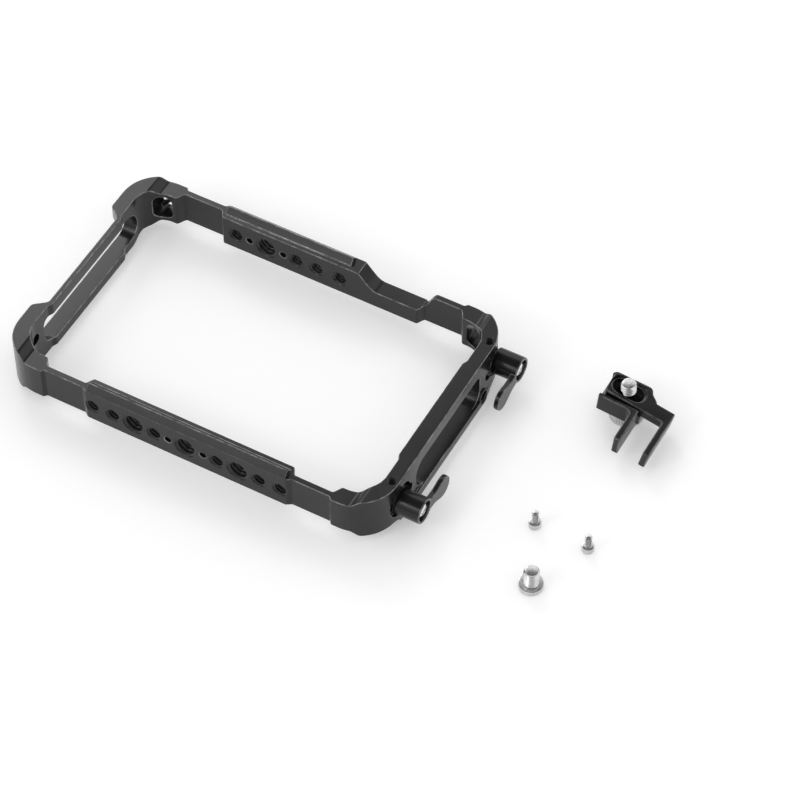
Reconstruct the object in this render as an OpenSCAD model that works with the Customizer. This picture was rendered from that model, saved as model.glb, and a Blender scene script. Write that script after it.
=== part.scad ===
// Cage for a small camera monitor: a one-piece frame with two ratchet levers, a cable clamp and spare screws.
// X runs along the long sides, Y across the opening, Z up from the plane that the cage lies on.

/* [Frame outline] */
// Outer face of the left end bar, from the middle of the rails
left_reach = 87.1; // [70:0.1:110]
// Outer face of the bar that carries the levers, from the middle of the rails
right_reach = 85.6; // [70:0.1:110]
// Width over the outer faces of the long sides
frame_width = 112.3; // [90:0.1:140]
// Outer corner radius
corner_radius = 17; // [10:0.5:25]
// Inner corner radius
inner_radius = 11; // [5:0.5:16]
// Wall of the long sides at the corners
side_wall = 7.65; // [5:0.05:12]
// Thickness of the left end bar
left_bar = 6.4; // [4:0.1:10]
// Thickness of the right end bar
right_bar = 6; // [4:0.1:10]
// How far the end bars' middles step in
bar_step = 1; // [0.2:0.1:2]
// Distance of the stepped middles' ends from the long sides' outer faces
bar_step_in = 27.65; // [24:0.05:36]
// Edge softening of the frame's corners
frame_ease = 0.3; // [0.1:0.05:0.6]

/* [Frame heights] */
// Height of the end bars
end_height = 25.2; // [18:0.1:32]
// Height of the hole row over the rest plane
row_height = 14.6; // [10:0.1:20]
// Height of the long sides
side_height = 16; // [10:0.1:20]
// Height over the tips of the accessory rails
rail_height = 21.2; // [18:0.1:24]
// Length of the ramps between the ends and the sides
ramp_length = 4.6; // [2:0.1:8]
// Distance of the left ramps from the end
left_ramp_in = 8.3; // [7:0.1:14]
// Distance of the right ramps from the end
right_ramp_in = 8.2; // [7:0.1:14]
// Distance of the feet's ends from the long sides' outer faces
foot_in = 22.15; // [19:0.05:32]
// Length of the slopes at the ends of the feet
foot_slope = 8.5; // [4:0.5:12]

/* [Thin sections] */
// Distance of the left thin sections from the end
thin_left_in = 19.1; // [18:0.1:24]
// Distance of the right thin sections from the end
thin_right_in = 18.6; // [17.5:0.1:24]
// Depth of the outer relief of the thin sections
thin_relief = 1.25; // [0.3:0.05:2.5]
// Wall of the thin sections
thin_wall = 2.6; // [1.5:0.1:4]
// Length of the curved steps beside the thin sections
thin_blend = 3; // [1:0.5:6]

/* [Rails] */
// Half length of the near rail
rail_half = 45.2; // [30:0.1:60]
// Right end of the far rail, from the middle of the near one
far_rail_end = 14; // [0:0.5:45]
// Thickness of the rails
rail_wall = 7.2; // [6:0.1:10]
// Depth of the rail's flank from its outer face to the tip
rail_flank = 2.5; // [2:0.05:3.5]
// Width of the groove behind the rail's tip
rail_groove = 0.7; // [0.3:0.05:1.5]
// Inward width of the far rail's flank
far_flank = 3; // [2:0.05:4]
// Length over which the far rail drops to the low section
far_drop = 13; // [4:0.5:20]
// Height of the low section over the side's lower face
low_height = 8.6; // [4:0.1:14]
// Right end of the low section
low_end = 46.4; // [30:0.1:55]
// Right end of the low section's thick wall
low_inner_end = 45.2; // [30:0.1:50]
// Length of the curved ends of the thick walls
root_blend = 2.6; // [1:0.1:6]
// Length over which the low section rises again
low_rise = 6; // [2:0.5:10]

/* [Threaded holes] */
// Distance between neighbouring holes of the row
hole_pitch = 9.5; // [8:0.1:12]
// Diameter of the small accessory threads
small_thread = 6.35; // [4:0.05:8]
// Diameter of the large accessory threads
large_thread = 9.525; // [8:0.005:11]
// Diameter of the locating holes
locating_hole = 3; // [2:0.1:4]
// Depth of the countersinks
countersink = 0.35; // [0.1:0.05:0.8]
// Distance of the locating holes from the middle one
locating_offset = 7.95; // [6:0.05:9]
// Distance from the middle of the near rail to the far rail's large thread
far_large_at = 24.8; // [15:0.1:35]
// Diameter of the cross hole in the left end bar
cross_hole = 5.2; // [3:0.1:7]
// Height of the cross hole over the rest plane
cross_hole_height = 14.9; // [8:0.1:20]
// Distance of the cross hole from the near side's outer face
cross_hole_in = 17.95; // [15:0.05:24]
// Diameter of the threads in the top of the right bar
top_thread = 3.2; // [2:0.1:4]
// Diameter of the countersinks on the right bar
top_sink = 4.2; // [3:0.1:7]
// Depth of the threads in the right bar
top_thread_depth = 8; // [3:0.5:10]
// Distance of the right bar's threads from its outer face
top_thread_in = 2.8; // [2.6:0.1:3.4]
// Distance of the far thread in the right bar from the far side's outer face
top_thread_far_in = 14.95; // [11:0.05:24]
// Distance of the near thread in the right bar from the near side's outer face
top_thread_near_in = 17.45; // [11:0.05:24]

// Distance of the right foot's thread from the far side's outer face
side_thread_in = 25.55; // [23:0.05:36]
// Height of the right foot's thread over the rest plane
side_thread_height = 4.2; // [3.5:0.1:6]
// Depth of the right foot's thread
side_thread_depth = 5; // [3:0.5:6]

/* [Windows] */
// Height of the left bar's upper strip
left_strip_height = 6.2; // [3:0.1:9]
// Thickness of the left bar's upper strip
left_strip = 2; // [1:0.1:4]
// Height of the left bar's foot under its window
left_lip_height = 4.6; // [2:0.1:8]
// Distance of the left window's near end from the near side's outer face
left_window_near_in = 24.15; // [21:0.05:34]
// Distance of the left window's far end from the far side's outer face
left_window_far_in = 17.65; // [17:0.05:34]
// Rounding of the windows' usual corners
window_round = 6; // [2:0.5:7]
// Rounding of the left window's far upper corner
window_round_large = 8; // [2:0.5:9]
// Rounding of the windows' small corners
window_round_small = 3; // [1:0.5:7]
// Distance of the left bar's outer relief from the long sides' outer faces
left_relief_in = 25.15; // [21:0.05:34]
// Length of the curved steps beside the relief
left_relief_blend = 6; // [2:0.5:9]
// Thickness of the right bar's upper flange
right_flange = 6.2; // [2:0.1:9]
// Height of the right bar's foot under its window
right_lip_height = 4.2; // [2:0.1:8]
// How far the right foot stands out
right_lip_out = 1; // [0.2:0.1:3]
// Distance of the right window's near end from the near side's outer face
right_window_near_in = 31.85; // [30:0.05:40]
// Distance of the right window's far end from the far side's outer face
right_window_far_in = 27.95; // [26:0.05:40]
// Length of the windows in the far corners
pocket_length = 7.6; // [6:0.1:9]
// Height of the windows in the far corners
pocket_height = 12; // [8:0.1:14]
// Thickness of the diagonal webs in the corner windows
pocket_web = 1.8; // [0.8:0.1:3]
// Lean of the diagonal webs
pocket_lean = 38; // [0:1:60]

/* [Lever slots] */
// Width of the lever slots
slot_width = 5.8; // [4:0.1:8]
// Height of the slots over the rest plane
slot_height = 12; // [8:0.1:16]
// Distance of the far slot's inner end from the far side's outer face
far_slot_start_in = 23.15; // [18:0.05:27]
// Distance of the far slot's outer end from the far side's outer face
far_slot_end_in = 8.65; // [7:0.05:14]
// Distance of the near slot's inner end from the near side's outer face
near_slot_start_in = 28.85; // [24:0.05:34]
// Distance of the near slot's outer end from the near side's outer face
near_slot_end_in = 12.15; // [7:0.05:18]
// Depth of the round seats for the levers
seat_depth = 1.8; // [0.5:0.1:3]
// Diameter of the round seats for the levers
seat_diameter = 15.2; // [11:0.1:18]
// Rise of the seats' middle over the slots
seat_rise = 1; // [0:0.1:2]
// Distance of the far lever from the far side's outer face
far_lever_in = 12.25; // [11.65:0.05:19]
// Distance of the near lever from the near side's outer face
near_lever_in = 19.65; // [16:0.05:25]

/* [Levers] */
// Diameter of the lever hub
hub_diameter = 11; // [8:0.1:14]
// End of the hub over its seat
hub_reach = 12.4; // [8:0.1:16]
// Length of the wing from the hub's axis
wing_length = 20.2; // [14:0.5:30]
// Width of the wing's pad
wing_width = 9.6; // [4:0.1:12]
// Width of the wing's neck
neck_width = 5.4; // [3:0.1:8]
// Thickness of the wing
wing_thickness = 2.4; // [1.5:0.1:4]
// Angle of the far wing below the frame's plane
far_wing_angle = 8; // [-60:1:60]
// Angle of the near wing below the frame's plane
near_wing_angle = 8; // [-60:1:60]
// Thickness of the washer under the hub
washer_thickness = 0.6; // [0.4:0.05:1.5]
// Diameter of the washer
washer_diameter = 9; // [7.5:0.1:12]
// Diameter of the stud's thread
stud_thread = 5; // [4:0.1:5.4]
// Length of the stud under the seat
stud_inside = 6.8; // [5:0.1:12]
// Diameter of the stud's toothed collar over its teeth
collar_diameter = 6.2; // [5.4:0.1:6.6]
// Number of teeth on the collar
tooth_count = 12; // [8:1:20]
// Length of the toothed collar
collar_length = 1.6; // [1:0.1:2.5]
// Diameter of the toothed bush
bush_diameter = 8; // [7.4:0.1:8.4]
// Depth of the shoulder inside the hub
shoulder_at = 3.6; // [3:0.1:5]
// Thickness of the shoulder inside the hub
shoulder_thickness = 0.8; // [0.5:0.1:1.5]
// Diameter of the hub's counterbore
counterbore = 8.8; // [8.2:0.1:9.2]
// Diameter of the retaining screw
retainer_screw = 3; // [2:0.1:3.4]
// Diameter of the retaining screw's head
retainer_head = 7.8; // [6:0.1:8]
// Height of the retaining screw's head
retainer_head_height = 1.6; // [1:0.1:2]
// Top of the retaining screw's head under the hub's end
head_recess = 0.3; // [0.2:0.1:1.5]
// Width of the socket in the retaining screw
retainer_socket = 2.5; // [1.5:0.1:3]
// Diameter of the spring wire
spring_wire = 0.5; // [0.3:0.05:0.7]
// Diameter of the spring at the wire's middle
spring_diameter = 5.2; // [4.4:0.1:6]
// Coils of the spring
spring_coils = 3; // [2:0.5:5]
// Diameter of the retaining ring on the stud
ring_diameter = 7.4; // [6.4:0.1:9]
// Thickness of the retaining ring
ring_thickness = 0.7; // [0.4:0.1:1.2]
// Room around the retaining ring in the frame
ring_room = 0.4; // [0.2:0.1:1]
// Clearance of running fits
running_gap = 0.08; // [0.04:0.01:0.15]
// Clearance between stacked pieces
stack_gap = 0.05; // [0.02:0.01:0.1]

/* [Cable clamp] */
// Place of the clamp screw along X
clamp_x = 138.9; // [110:0.1:180]
// Place of the clamp screw across the frame
clamp_y = 53.2; // [-50:0.1:120]
// Tilt of the loose clamp's plate
clamp_tilt = 12; // [6:0.5:16]
// Tilt of the loose jaw
jaw_tilt = 5; // [2:0.5:7]
// Reach of the plate to the left of its screw
clamp_left = 7.8; // [7.4:0.1:12]
// Reach of the plate to the right of its screw
clamp_right = 21.2; // [16:0.1:30]
// Reach of the plate to the front of its screw
clamp_front = 6; // [5:0.1:9]
// Reach of the plate to the back of its screw
clamp_back = 4.4; // [4.2:0.1:8]
// Where the plate narrows to its bridge
clamp_bridge_at = 11; // [9.5:0.1:14]
// Reach of the bridge to the back of the screw
clamp_bridge_back = 0.5; // [0:0.1:3]
// Thickness of the clamp's plate
clamp_plate = 4.4; // [3:0.1:6]
// Reach of the arms to the front of the screw
clamp_arm = 23.6; // [12:0.1:35]
// Thickness of the arms
clamp_arm_thickness = 2.8; // [2:0.1:4]
// Height of the plate's arm
clamp_arm_height = 8.7; // [6:0.1:10]
// Width of the slot in the plate
clamp_slot = 6.8; // [6.6:0.1:7.6]
// Reach of the slot to the left of the screw
clamp_slot_left = 6.4; // [5:0.1:6.6]
// Reach of the slot to the right of the screw
clamp_slot_right = 7; // [5:0.1:8]
// Rim of the pocket around the slot
clamp_pocket_rim = 0.7; // [0.3:0.1:0.8]
// Depth of the pocket
clamp_pocket_depth = 1.2; // [0.4:0.1:2]
// Diameter of the clamp screw
clamp_screw = 6.35; // [5:0.05:6.5]
// Reach of the clamp screw over the plate
clamp_screw_reach = 3.6; // [2:0.5:10]
// Diameter of the knurled head
knob_diameter = 14.6; // [10:0.1:20]
// Height of the knurled head
knob_height = 4.7; // [3:0.1:8]
// Number of grooves around the knurled head
knob_grooves = 36; // [16:1:60]
// Reach of the jaw to the left of the screw
jaw_left = 10.2; // [8:0.1:14]
// Reach of the jaw to the right of the screw
jaw_right = 8; // [7.4:0.1:12]
// Thickness of the jaw's block under the plate
jaw_block = 5; // [3:0.1:6]
// Height of the jaw's front wall and arm
jaw_height = 9.2; // [7:0.1:10]
// Thickness of the jaw's walls
jaw_wall = 1.6; // [1:0.1:2.5]
// Rounding of the jaw's back corners
jaw_round = 2.4; // [0.5:0.1:4]
// Fillet between the jaw's front wall and its arm
jaw_fillet = 2.2; // [0.5:0.1:3.5]
// Right side of the jaw's arm, from the screw
jaw_arm_at = 7.2; // [6:0.1:8.4]
// Diameter of the hole in the jaw
jaw_hole = 7.2; // [7:0.1:8]
// Gap between the plate and the jaw's walls
clamp_gap = 0.5; // [0.3:0.1:1]

/* [Spare screws] */
// Diameter of the small screws' thread
cap_thread = 3; // [2:0.1:4]
// Diameter of the small screws' heads
cap_head = 5.2; // [4:0.1:7]
// Height of the small screws' heads
cap_head_height = 2.8; // [1.5:0.1:4]
// Length of the small screws under the head
cap_length = 5.6; // [3:0.5:12]
// Places of the small screws
cap_places = [[132.4, -13.9], [155.7, -14.3]];
// Place of the large screw
large_spare_place = [144.4, -40.3];
// Diameter of the large screw's head
large_spare_head = 10; // [7:0.1:12]
// Height of the large screw's head
large_spare_head_height = 2.4; // [2:0.1:4]
// Length of the large screw under the head
large_spare_length = 7.7; // [4:0.5:14]

/* [Hidden] */
half_width = frame_width / 2;
left_ramp_at = left_reach - left_ramp_in;
right_ramp_at = right_reach - right_ramp_in;
thin_left = left_reach - thin_left_in;
thin_right = right_reach - thin_right_in;
top_thread_x = right_reach - top_thread_in;
foot_half = half_width - foot_in;
bar_step_half = half_width - bar_step_in;
left_window_near = half_width - left_window_near_in;
left_window_far = half_width - left_window_far_in;
left_relief_half = half_width - left_relief_in;
right_window_near = half_width - right_window_near_in;
right_window_far = half_width - right_window_far_in;
cross_hole_at = half_width - cross_hole_in;
top_thread_far = half_width - top_thread_far_in;
top_thread_near = half_width - top_thread_near_in;
side_thread_at = half_width - side_thread_in;
far_slot_from = half_width - far_slot_start_in;
far_slot_to = half_width - far_slot_end_in;
near_slot_from = half_width - near_slot_start_in;
near_slot_to = half_width - near_slot_end_in;
far_lever_at = half_width - far_lever_in;
near_lever_at = half_width - near_lever_in;
side_low = row_height - side_height / 2;
side_top = row_height + side_height / 2;
rail_low = row_height - rail_height / 2;
rail_top = row_height + rail_height / 2;
left_inner = left_reach - left_bar;
right_inner = right_reach - right_bar;
thin_outer = half_width - thin_relief;
thin_inner = thin_outer - thin_wall;
corner_inner = half_width - side_wall;
rail_inner = half_width - rail_wall;
low_top = side_low + low_height;
cut_over = frame_width;
blend_steps = 6;
ramp_steps = 8;
washer_hole = stud_thread + 2 * running_gap;
collar_from = washer_thickness + 2 * stack_gap;
screw_head_under = hub_reach - head_recess - retainer_head_height;
spring_from = shoulder_at + shoulder_thickness;
spring_length = screw_head_under - spring_from;
quarter_turn = 90;
circle_faces = 64;
small_faces = 40;
curl_rings = 8;
wire_sides = 6;
tooth_depth_share = 0.09;
tooth_width_share = 0.5;
socket_depth_share = 0.6;
groove_depth_share = 0.05;
hex_corner_share = 2 / sqrt(3);
jaw_under = knob_height + knob_diameter / 2 * tan(jaw_tilt) + stack_gap;
plate_under = jaw_under + jaw_block / cos(jaw_tilt) + jaw_right * (tan(clamp_tilt) - tan(jaw_tilt)) + stack_gap;
clamp_top = plate_under + clamp_plate / cos(clamp_tilt);
thread_depth_share = 0.085;
pocket_round_share = 0.25;
pocket_web_share = 0.45;
near_small_shares = [-4.5, -3.5, -1.5, 1.5, 3.5, 4.5];
near_large_shares = [-2.5, 0, 2.5];
far_small_shares = [-1.5, 1.5, 2.5, 3.65];
ring_bite = 0.4;
ring_mouth_share = 0.6;
wing_neck_share = 0.37;
head_rim_share = 0.97;
head_edge_share = 0.12;
far_lever_turn = far_wing_angle - 90;
near_lever_turn = 90 - near_wing_angle;
clamp_round_share = 0.45;
screw_seat_share = 0.8;
spare_socket_share = 0.7;

// A smooth step from zero to one
function ease(t) = t * t * (3 - 2 * t);

// Points of a curved step between two places
function blend(a, b, steps) = [for (i = [0 : steps]) let (t = i / steps)
    [a[0] + (b[0] - a[0]) * t, a[1] + (b[1] - a[1]) * ease(t)]];

// The same with the fast part along the first axis
function blend_across(a, b, steps) = [for (i = [0 : steps]) let (t = i / steps)
    [a[0] + (b[0] - a[0]) * ease(t), a[1] + (b[1] - a[1]) * t]];

// An upright block between two corners
module block(a, b) {
    translate(a) cube(b - a);
}

// A cylinder along X
module rod_x(x, y, z, d, length, faces = circle_faces) {
    translate([x, y, z]) rotate([0, 90, 0]) cylinder(d = d, h = length, $fn = faces);
}

// A cylinder along Y
module rod_y(x, y, z, d, length, faces = circle_faces) {
    translate([x, y, z]) rotate([-90, 0, 0]) cylinder(d = d, h = length, $fn = faces);
}

// Both halves of a shape that is the same on either side of the middle plane
module both_sides() {
    children();
    mirror([0, 1, 0]) children();
}

// Outline block with rounded upright corners
module rounded_slab(x0, x1, half, r, z0, z1) {
    block([x0 + r, -half, z0], [x1 - r, half, z1]);
    block([x0, r - half, z0], [x1, half - r, z1]);
    for (x = [x0 + r, x1 - r]) {
        for (y = [r - half, half - r]) {
            translate([x, y, z0]) cylinder(r = r, h = z1 - z0, $fn = circle_faces * 2);
        }
    }
}

// Side view of the frame without its rails, as an outline in X and Z
module side_profile() {
    up_left = blend([-left_ramp_at, end_height], [ramp_length - left_ramp_at, side_top], ramp_steps);
    up_right = blend([right_ramp_at - ramp_length, side_top], [right_ramp_at, end_height], ramp_steps);
    low_right = blend([right_ramp_at, rail_low], [right_ramp_at - ramp_length, side_low], ramp_steps);
    low_left = blend([ramp_length - left_ramp_at, side_low], [-left_ramp_at, rail_low], ramp_steps);
    right_edge = [[right_reach, end_height], [right_reach, 0], [right_inner - bar_step, 0],
        [right_inner - bar_step, rail_low]];
    left_edge = [[bar_step - left_inner, rail_low], [bar_step - left_inner, 0], [-left_reach, 0],
        [-left_reach, end_height]];
    polygon(concat(up_left, up_right, right_edge, low_right, low_left, left_edge));
}

// End view of the space under the corners
module foot_relief() {
    slope = blend([foot_half, 0], [foot_half + foot_slope, rail_low], ramp_steps);
    polygon(concat(slope, [[half_width * 2, rail_low], [half_width * 2, -rail_low], [foot_half, -rail_low]]));
}

// The opening that the monitor fits in, seen from above
module opening_plan() {
    step_from = bar_step_half - thin_blend;
    left_wall = left_inner - inner_radius;
    right_wall = right_inner - inner_radius;
    straight = corner_inner - inner_radius;
    left_step = blend_across([bar_step - left_inner, step_from], [-left_inner, bar_step_half], blend_steps);
    right_step = blend_across([right_inner, bar_step_half], [right_inner - bar_step, step_from], blend_steps);
    left_in = blend([-thin_left, corner_inner], [thin_blend - thin_left, thin_inner], blend_steps);
    right_in = blend([thin_right - thin_blend, thin_inner], [thin_right, corner_inner], blend_steps);
    for (side = [-1, 1]) {
        polygon([for (p = concat([[-left_inner + bar_step, 0]], left_step, [[-left_inner, straight],
            [-left_wall, straight], [-left_wall, corner_inner]], left_in, right_in,
            [[right_wall, corner_inner], [right_wall, straight], [right_inner, straight]], right_step,
            [[right_inner - bar_step, 0]])) [p[0], p[1] * side]]);
        for (x = [-left_wall, right_wall]) {
            translate([x, straight * side]) circle(r = inner_radius, $fn = circle_faces * 2);
        }
    }
}

// The relief outside a thin section, seen from above
module outer_relief(from, to) {
    steps_in = blend([from, half_width], [from + thin_blend / 2, thin_outer], blend_steps);
    steps_out = blend([to - thin_blend / 2, thin_outer], [to, half_width], blend_steps);
    polygon(concat([[from, half_width * 2]], steps_in, steps_out, [[to, half_width * 2]]));
}

// Section of a rail with its outer face on the zero line, seen along the rail
module rail_section(inner_flank) {
    face = rail_height / 2 - rail_flank;
    groove = rail_flank + rail_groove;
    deep = rail_height / 2 - inner_flank;
    top = side_height / 2 - frame_ease;
    upper = [[0, -face], [0, face], [rail_flank, rail_height / 2], [rail_flank + frame_ease, rail_height / 2],
        [rail_flank + inner_flank, min(deep, top)], [rail_wall, min(deep, top)]];
    lower = [for (i = [len(upper) - 1 : -1 : 1]) [upper[i][0], -upper[i][1]]];
    polygon(concat(upper, lower));
}

// A rail between two places on the near side
module rail(from, to, inner_flank) {
    translate([from, -half_width, row_height]) rotate([90, 0, 90])
        linear_extrude(height = to - from) rail_section(inner_flank);
}

// A countersunk threaded hole through the near or the far wall
module wall_hole(x, side, d, wall) {
    outer = side * (half_width + stack_gap);
    length = wall + 2 * stack_gap;
    start = side > 0 ? outer - length : outer;
    rod_y(x, start, row_height, d - 2 * thread_depth(d), length);
    for (y = [side * half_width, side * (half_width - wall)]) {
        translate([x, y, row_height]) rotate([-90, 0, 0])
            translate([0, 0, -countersink]) cylinder(d = d, h = 2 * countersink, $fn = circle_faces);
    }
}

// Radial depth of a thread of the given diameter
function thread_depth(d) = d * thread_depth_share;

// The window with a diagonal web through a far corner's wall
module corner_pocket(from, lean) {
    r = pocket_height * pocket_round_share;
    low = row_height - pocket_height / 2;
    top = low + pocket_height;
    to = from + pocket_length;
    back = half_width + side_wall;
    open = corner_inner - inner_radius;
    difference() {
        union() {
            block([from + r, open, low], [to - r, back, top]);
            block([from, open, low + r], [to, back, top - r]);
            for (x = [from + r, to - r]) {
                for (z = [low + r, top - r]) {
                    rod_y(x, open, z, 2 * r, back - open, small_faces);
                }
            }
        }
        translate([(from + to) / 2, corner_inner + side_wall * pocket_web_share, row_height]) rotate([0, lean, 0])
            block([-pocket_web / 2, 0, -side_height], [pocket_web / 2, side_wall, side_height]);
    }
}

// Points of a quarter circle from one angle to the next
function quarter(centre, r, from) = [for (i = [0 : blend_steps]) let (a = from + i * quarter_turn / blend_steps)
    [centre[0] + r * cos(a), centre[1] + r * sin(a)]];

// A window through an end bar with its own rounding in each corner, given as [near, far] and [low, top]
module bar_window(x, across, up, low_r, top_r) {
    translate([x, 0, 0]) rotate([90, 0, 90]) linear_extrude(height = abs(x)) polygon(concat(
        quarter([across[0] + low_r[0], up[0] + low_r[0]], low_r[0], 2 * quarter_turn),
        quarter([across[1] - low_r[1], up[0] + low_r[1]], low_r[1], 3 * quarter_turn),
        quarter([across[1] - top_r[1], up[1] - top_r[1]], top_r[1], 0),
        quarter([across[0] + top_r[0], up[1] - top_r[0]], top_r[0], quarter_turn)));
}

// The window and the outer relief of the left bar
module left_bar_cuts() {
    strip_outer = left_inner - bar_step + left_strip;
    relief = blend_across([-left_reach, left_relief_half], [-strip_outer, left_relief_half - left_relief_blend], blend_steps);
    bar_window(-left_reach * 1.5, [-left_window_near, left_window_far], [left_lip_height, end_height - left_strip_height],
        [window_round, window_round], [window_round_small, window_round_large]);
    translate([0, 0, left_lip_height]) linear_extrude(height = end_height) both_sides()
        polygon(concat([[-left_reach * 2, 0], [-left_reach * 2, left_relief_half]], relief, [[-strip_outer, 0]]));
}

// The window of the right bar
module right_bar_cuts() {
    bar_window(right_reach / 2, [-right_window_near, right_window_far], [right_lip_height, end_height - right_flange],
        [window_round, window_round], [window_round, window_round_small]);
}

// A slot for a lever's stud
module lever_slot(from, to, at) {
    rod_x(right_reach - seat_depth, at, slot_height + seat_rise, seat_diameter, right_reach, circle_faces * 2);
    block([right_reach / 2, from + slot_width / 2, slot_height - slot_width / 2],
        [right_reach * 2, to - slot_width / 2, slot_height + slot_width / 2]);
    for (y = [from + slot_width / 2, to - slot_width / 2]) {
        rod_x(right_reach / 2, y, slot_height, slot_width, right_reach * 1.5);
    }
    room = ring_diameter + 2 * ring_room;
    block([right_inner - inner_radius, from + slot_width / 2, slot_height - room / 2],
        [right_inner, to - slot_width / 2, slot_height + room / 2]);
    for (y = [from + slot_width / 2, to - slot_width / 2]) {
        rod_x(right_inner - inner_radius, y, slot_height, room, inner_radius);
    }
}

// The foot that stands out of the right bar
module right_foot() {
    both_sides() linear_extrude(height = right_lip_height)
        polygon(concat([[right_inner, 0], [right_reach + right_lip_out, 0]],
            blend_across([right_reach + right_lip_out, foot_half - thin_blend], [right_reach, foot_half + thin_blend], blend_steps),
            [[right_inner, foot_half + thin_blend]]));
}

// The thick wall behind a rail with its curved ends, seen from above
module rail_root(from, to) {
    into = blend([from - root_blend, thin_inner], [from, rail_inner], blend_steps);
    out = blend([to, rail_inner], [to + root_blend, thin_inner], blend_steps);
    outer_in = blend([from, half_width], [from - root_blend, thin_outer], blend_steps);
    outer_out = blend([to + root_blend, thin_outer], [to, half_width], blend_steps);
    polygon(concat(into, out, outer_out, outer_in));
}

// The threaded hole in the right foot
module side_thread() {
    rod_x(right_reach + right_lip_out - side_thread_depth, side_thread_at, side_thread_height,
        small_thread - 2 * thread_depth(small_thread), side_thread_depth * 2);
    rod_x(right_reach + right_lip_out - countersink, side_thread_at, side_thread_height, small_thread, side_thread_depth);
}

// The cut that makes the low section of the far side
module low_section_cut() {
    drop = blend([far_rail_end, rail_top + frame_ease], [far_rail_end + far_drop, low_top], ramp_steps);
    rise = blend([low_end, low_top], [low_end + low_rise, side_top], ramp_steps);
    translate([0, half_width * 2, 0]) rotate([90, 0, 0]) linear_extrude(height = half_width * 1.5)
        polygon(concat(drop, rise, [[low_end + low_rise, end_height * 2], [far_rail_end, end_height * 2]]));
}

// The one-piece frame
module cage_frame() color([0.09, 0.09, 0.1]) difference() {
    union() {
        difference() {
            intersection() {
                rounded_slab(-left_reach, right_reach, half_width, corner_radius, 0, end_height);
                translate([0, half_width * 2, 0]) rotate([90, 0, 0]) linear_extrude(height = half_width * 4) side_profile();
            }
            translate([0, 0, -end_height]) linear_extrude(height = 3 * end_height) opening_plan();
            both_sides() translate([-left_reach * 2, 0, 0]) rotate([90, 0, 90])
                linear_extrude(height = left_reach * 4) foot_relief();
            translate([0, 0, -end_height]) linear_extrude(height = 3 * end_height) both_sides() {
                outer_relief(thin_blend / 2 - thin_left, -rail_half);
                outer_relief(low_end, thin_right - thin_blend / 2);
            }
            translate([0, 0, -end_height]) linear_extrude(height = 3 * end_height) mirror([0, 1, 0])
                outer_relief(rail_half, thin_right - thin_blend / 2);
            left_bar_cuts();
            right_bar_cuts();
        }
        rail(-rail_half, rail_half, rail_groove + rail_flank);
        mirror([0, 1, 0]) rail(-rail_half, far_rail_end, far_flank);
        translate([0, 0, side_low]) linear_extrude(height = side_height) {
            mirror([0, 1, 0]) rail_root(-rail_half, rail_half);
            rail_root(-rail_half, low_inner_end);
        }
        right_foot();
    }
    low_section_cut();
    side_thread();
    corner_pocket(inner_radius - left_inner - pocket_length, pocket_lean);
    corner_pocket(right_inner - inner_radius, -pocket_lean);
    for (k = near_small_shares) {
        wall_hole(k * hole_pitch, -1, small_thread, rail_wall);
    }
    for (k = near_large_shares) {
        wall_hole(k * hole_pitch, -1, large_thread, rail_wall);
    }
    for (k = far_small_shares) {
        wall_hole(k * hole_pitch - far_large_at, 1, small_thread, rail_wall);
    }
    wall_hole(-far_large_at, 1, large_thread, rail_wall);
    for (x = [-locating_offset, locating_offset]) {
        rod_y(x, -half_width - stack_gap, row_height, locating_hole, rail_wall + 2 * stack_gap, small_faces);
        rod_y(x - far_large_at, rail_inner - stack_gap, row_height, locating_hole, rail_wall + 2 * stack_gap, small_faces);
    }
    lever_slot(far_slot_from, far_slot_to, far_lever_at);
    mirror([0, 1, 0]) lever_slot(near_slot_from, near_slot_to, near_lever_at);
    rod_x(-left_reach * 1.5, -cross_hole_at, cross_hole_height, cross_hole, left_reach, small_faces);
    for (y = [-top_thread_near, top_thread_far]) {
        translate([top_thread_x, y, end_height - top_thread_depth])
            cylinder(d = top_thread, h = top_thread_depth * 2, $fn = small_faces);
        translate([top_thread_x, y, end_height - countersink])
            cylinder(d = top_sink, h = top_thread_depth, $fn = small_faces);
    }
}

// Moves a lever piece from its own axis to its place on the bar
module on_bar(y) {
    translate([right_reach - seat_depth, y, slot_height]) rotate([0, 90, 0]) children();
}

// A ring with a straight bore, standing on the zero plane
module ring(outer, inner, height, faces = circle_faces) {
    difference() {
        cylinder(d = outer, h = height, $fn = faces);
        translate([0, 0, -height]) cylinder(d = inner, h = 3 * height, $fn = faces);
    }
}

// Washer between the hub and the bar
module lever_washer(y) {
    on_bar(y) translate([0, 0, stack_gap]) ring(washer_diameter, washer_hole, washer_thickness);
}

// Teeth around an axis
module teeth(radius, width, depth, height) {
    for (i = [0 : tooth_count - 1]) {
        rotate([0, 0, i * 360 / tooth_count]) translate([radius - 2 * depth, -width / 2, 0]) cube([3 * depth, width, height]);
    }
}

// Threaded stud with a toothed collar
module lever_stud(y) {
    tooth = collar_diameter * tooth_depth_share;
    root = collar_diameter - 2 * tooth;
    width = collar_diameter * sin(180 / tooth_count) * tooth_width_share;
    neck = shoulder_at - stack_gap * 4;
    on_bar(y) difference() {
        union() {
            translate([0, 0, -stud_inside]) cylinder(d = stud_thread, h = stud_inside + collar_from, $fn = small_faces);
            translate([0, 0, collar_from]) intersection() {
                union() {
                    cylinder(d = root, h = collar_length, $fn = circle_faces);
                    teeth(collar_diameter / 2, width, tooth, collar_length);
                }
                cylinder(d = collar_diameter, h = collar_length, $fn = circle_faces);
            }
            translate([0, 0, collar_from]) cylinder(d = stud_thread, h = neck - collar_from, $fn = small_faces);
        }
        translate([0, 0, -stack_gap]) cylinder(d = retainer_screw, h = hub_reach, $fn = small_faces);
        translate([0, 0, seat_depth - right_bar - ring_thickness * 2]) ring(stud_thread * 2, stud_thread - 2 * ring_bite, ring_thickness + stack_gap * 2);
    }
}

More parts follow.
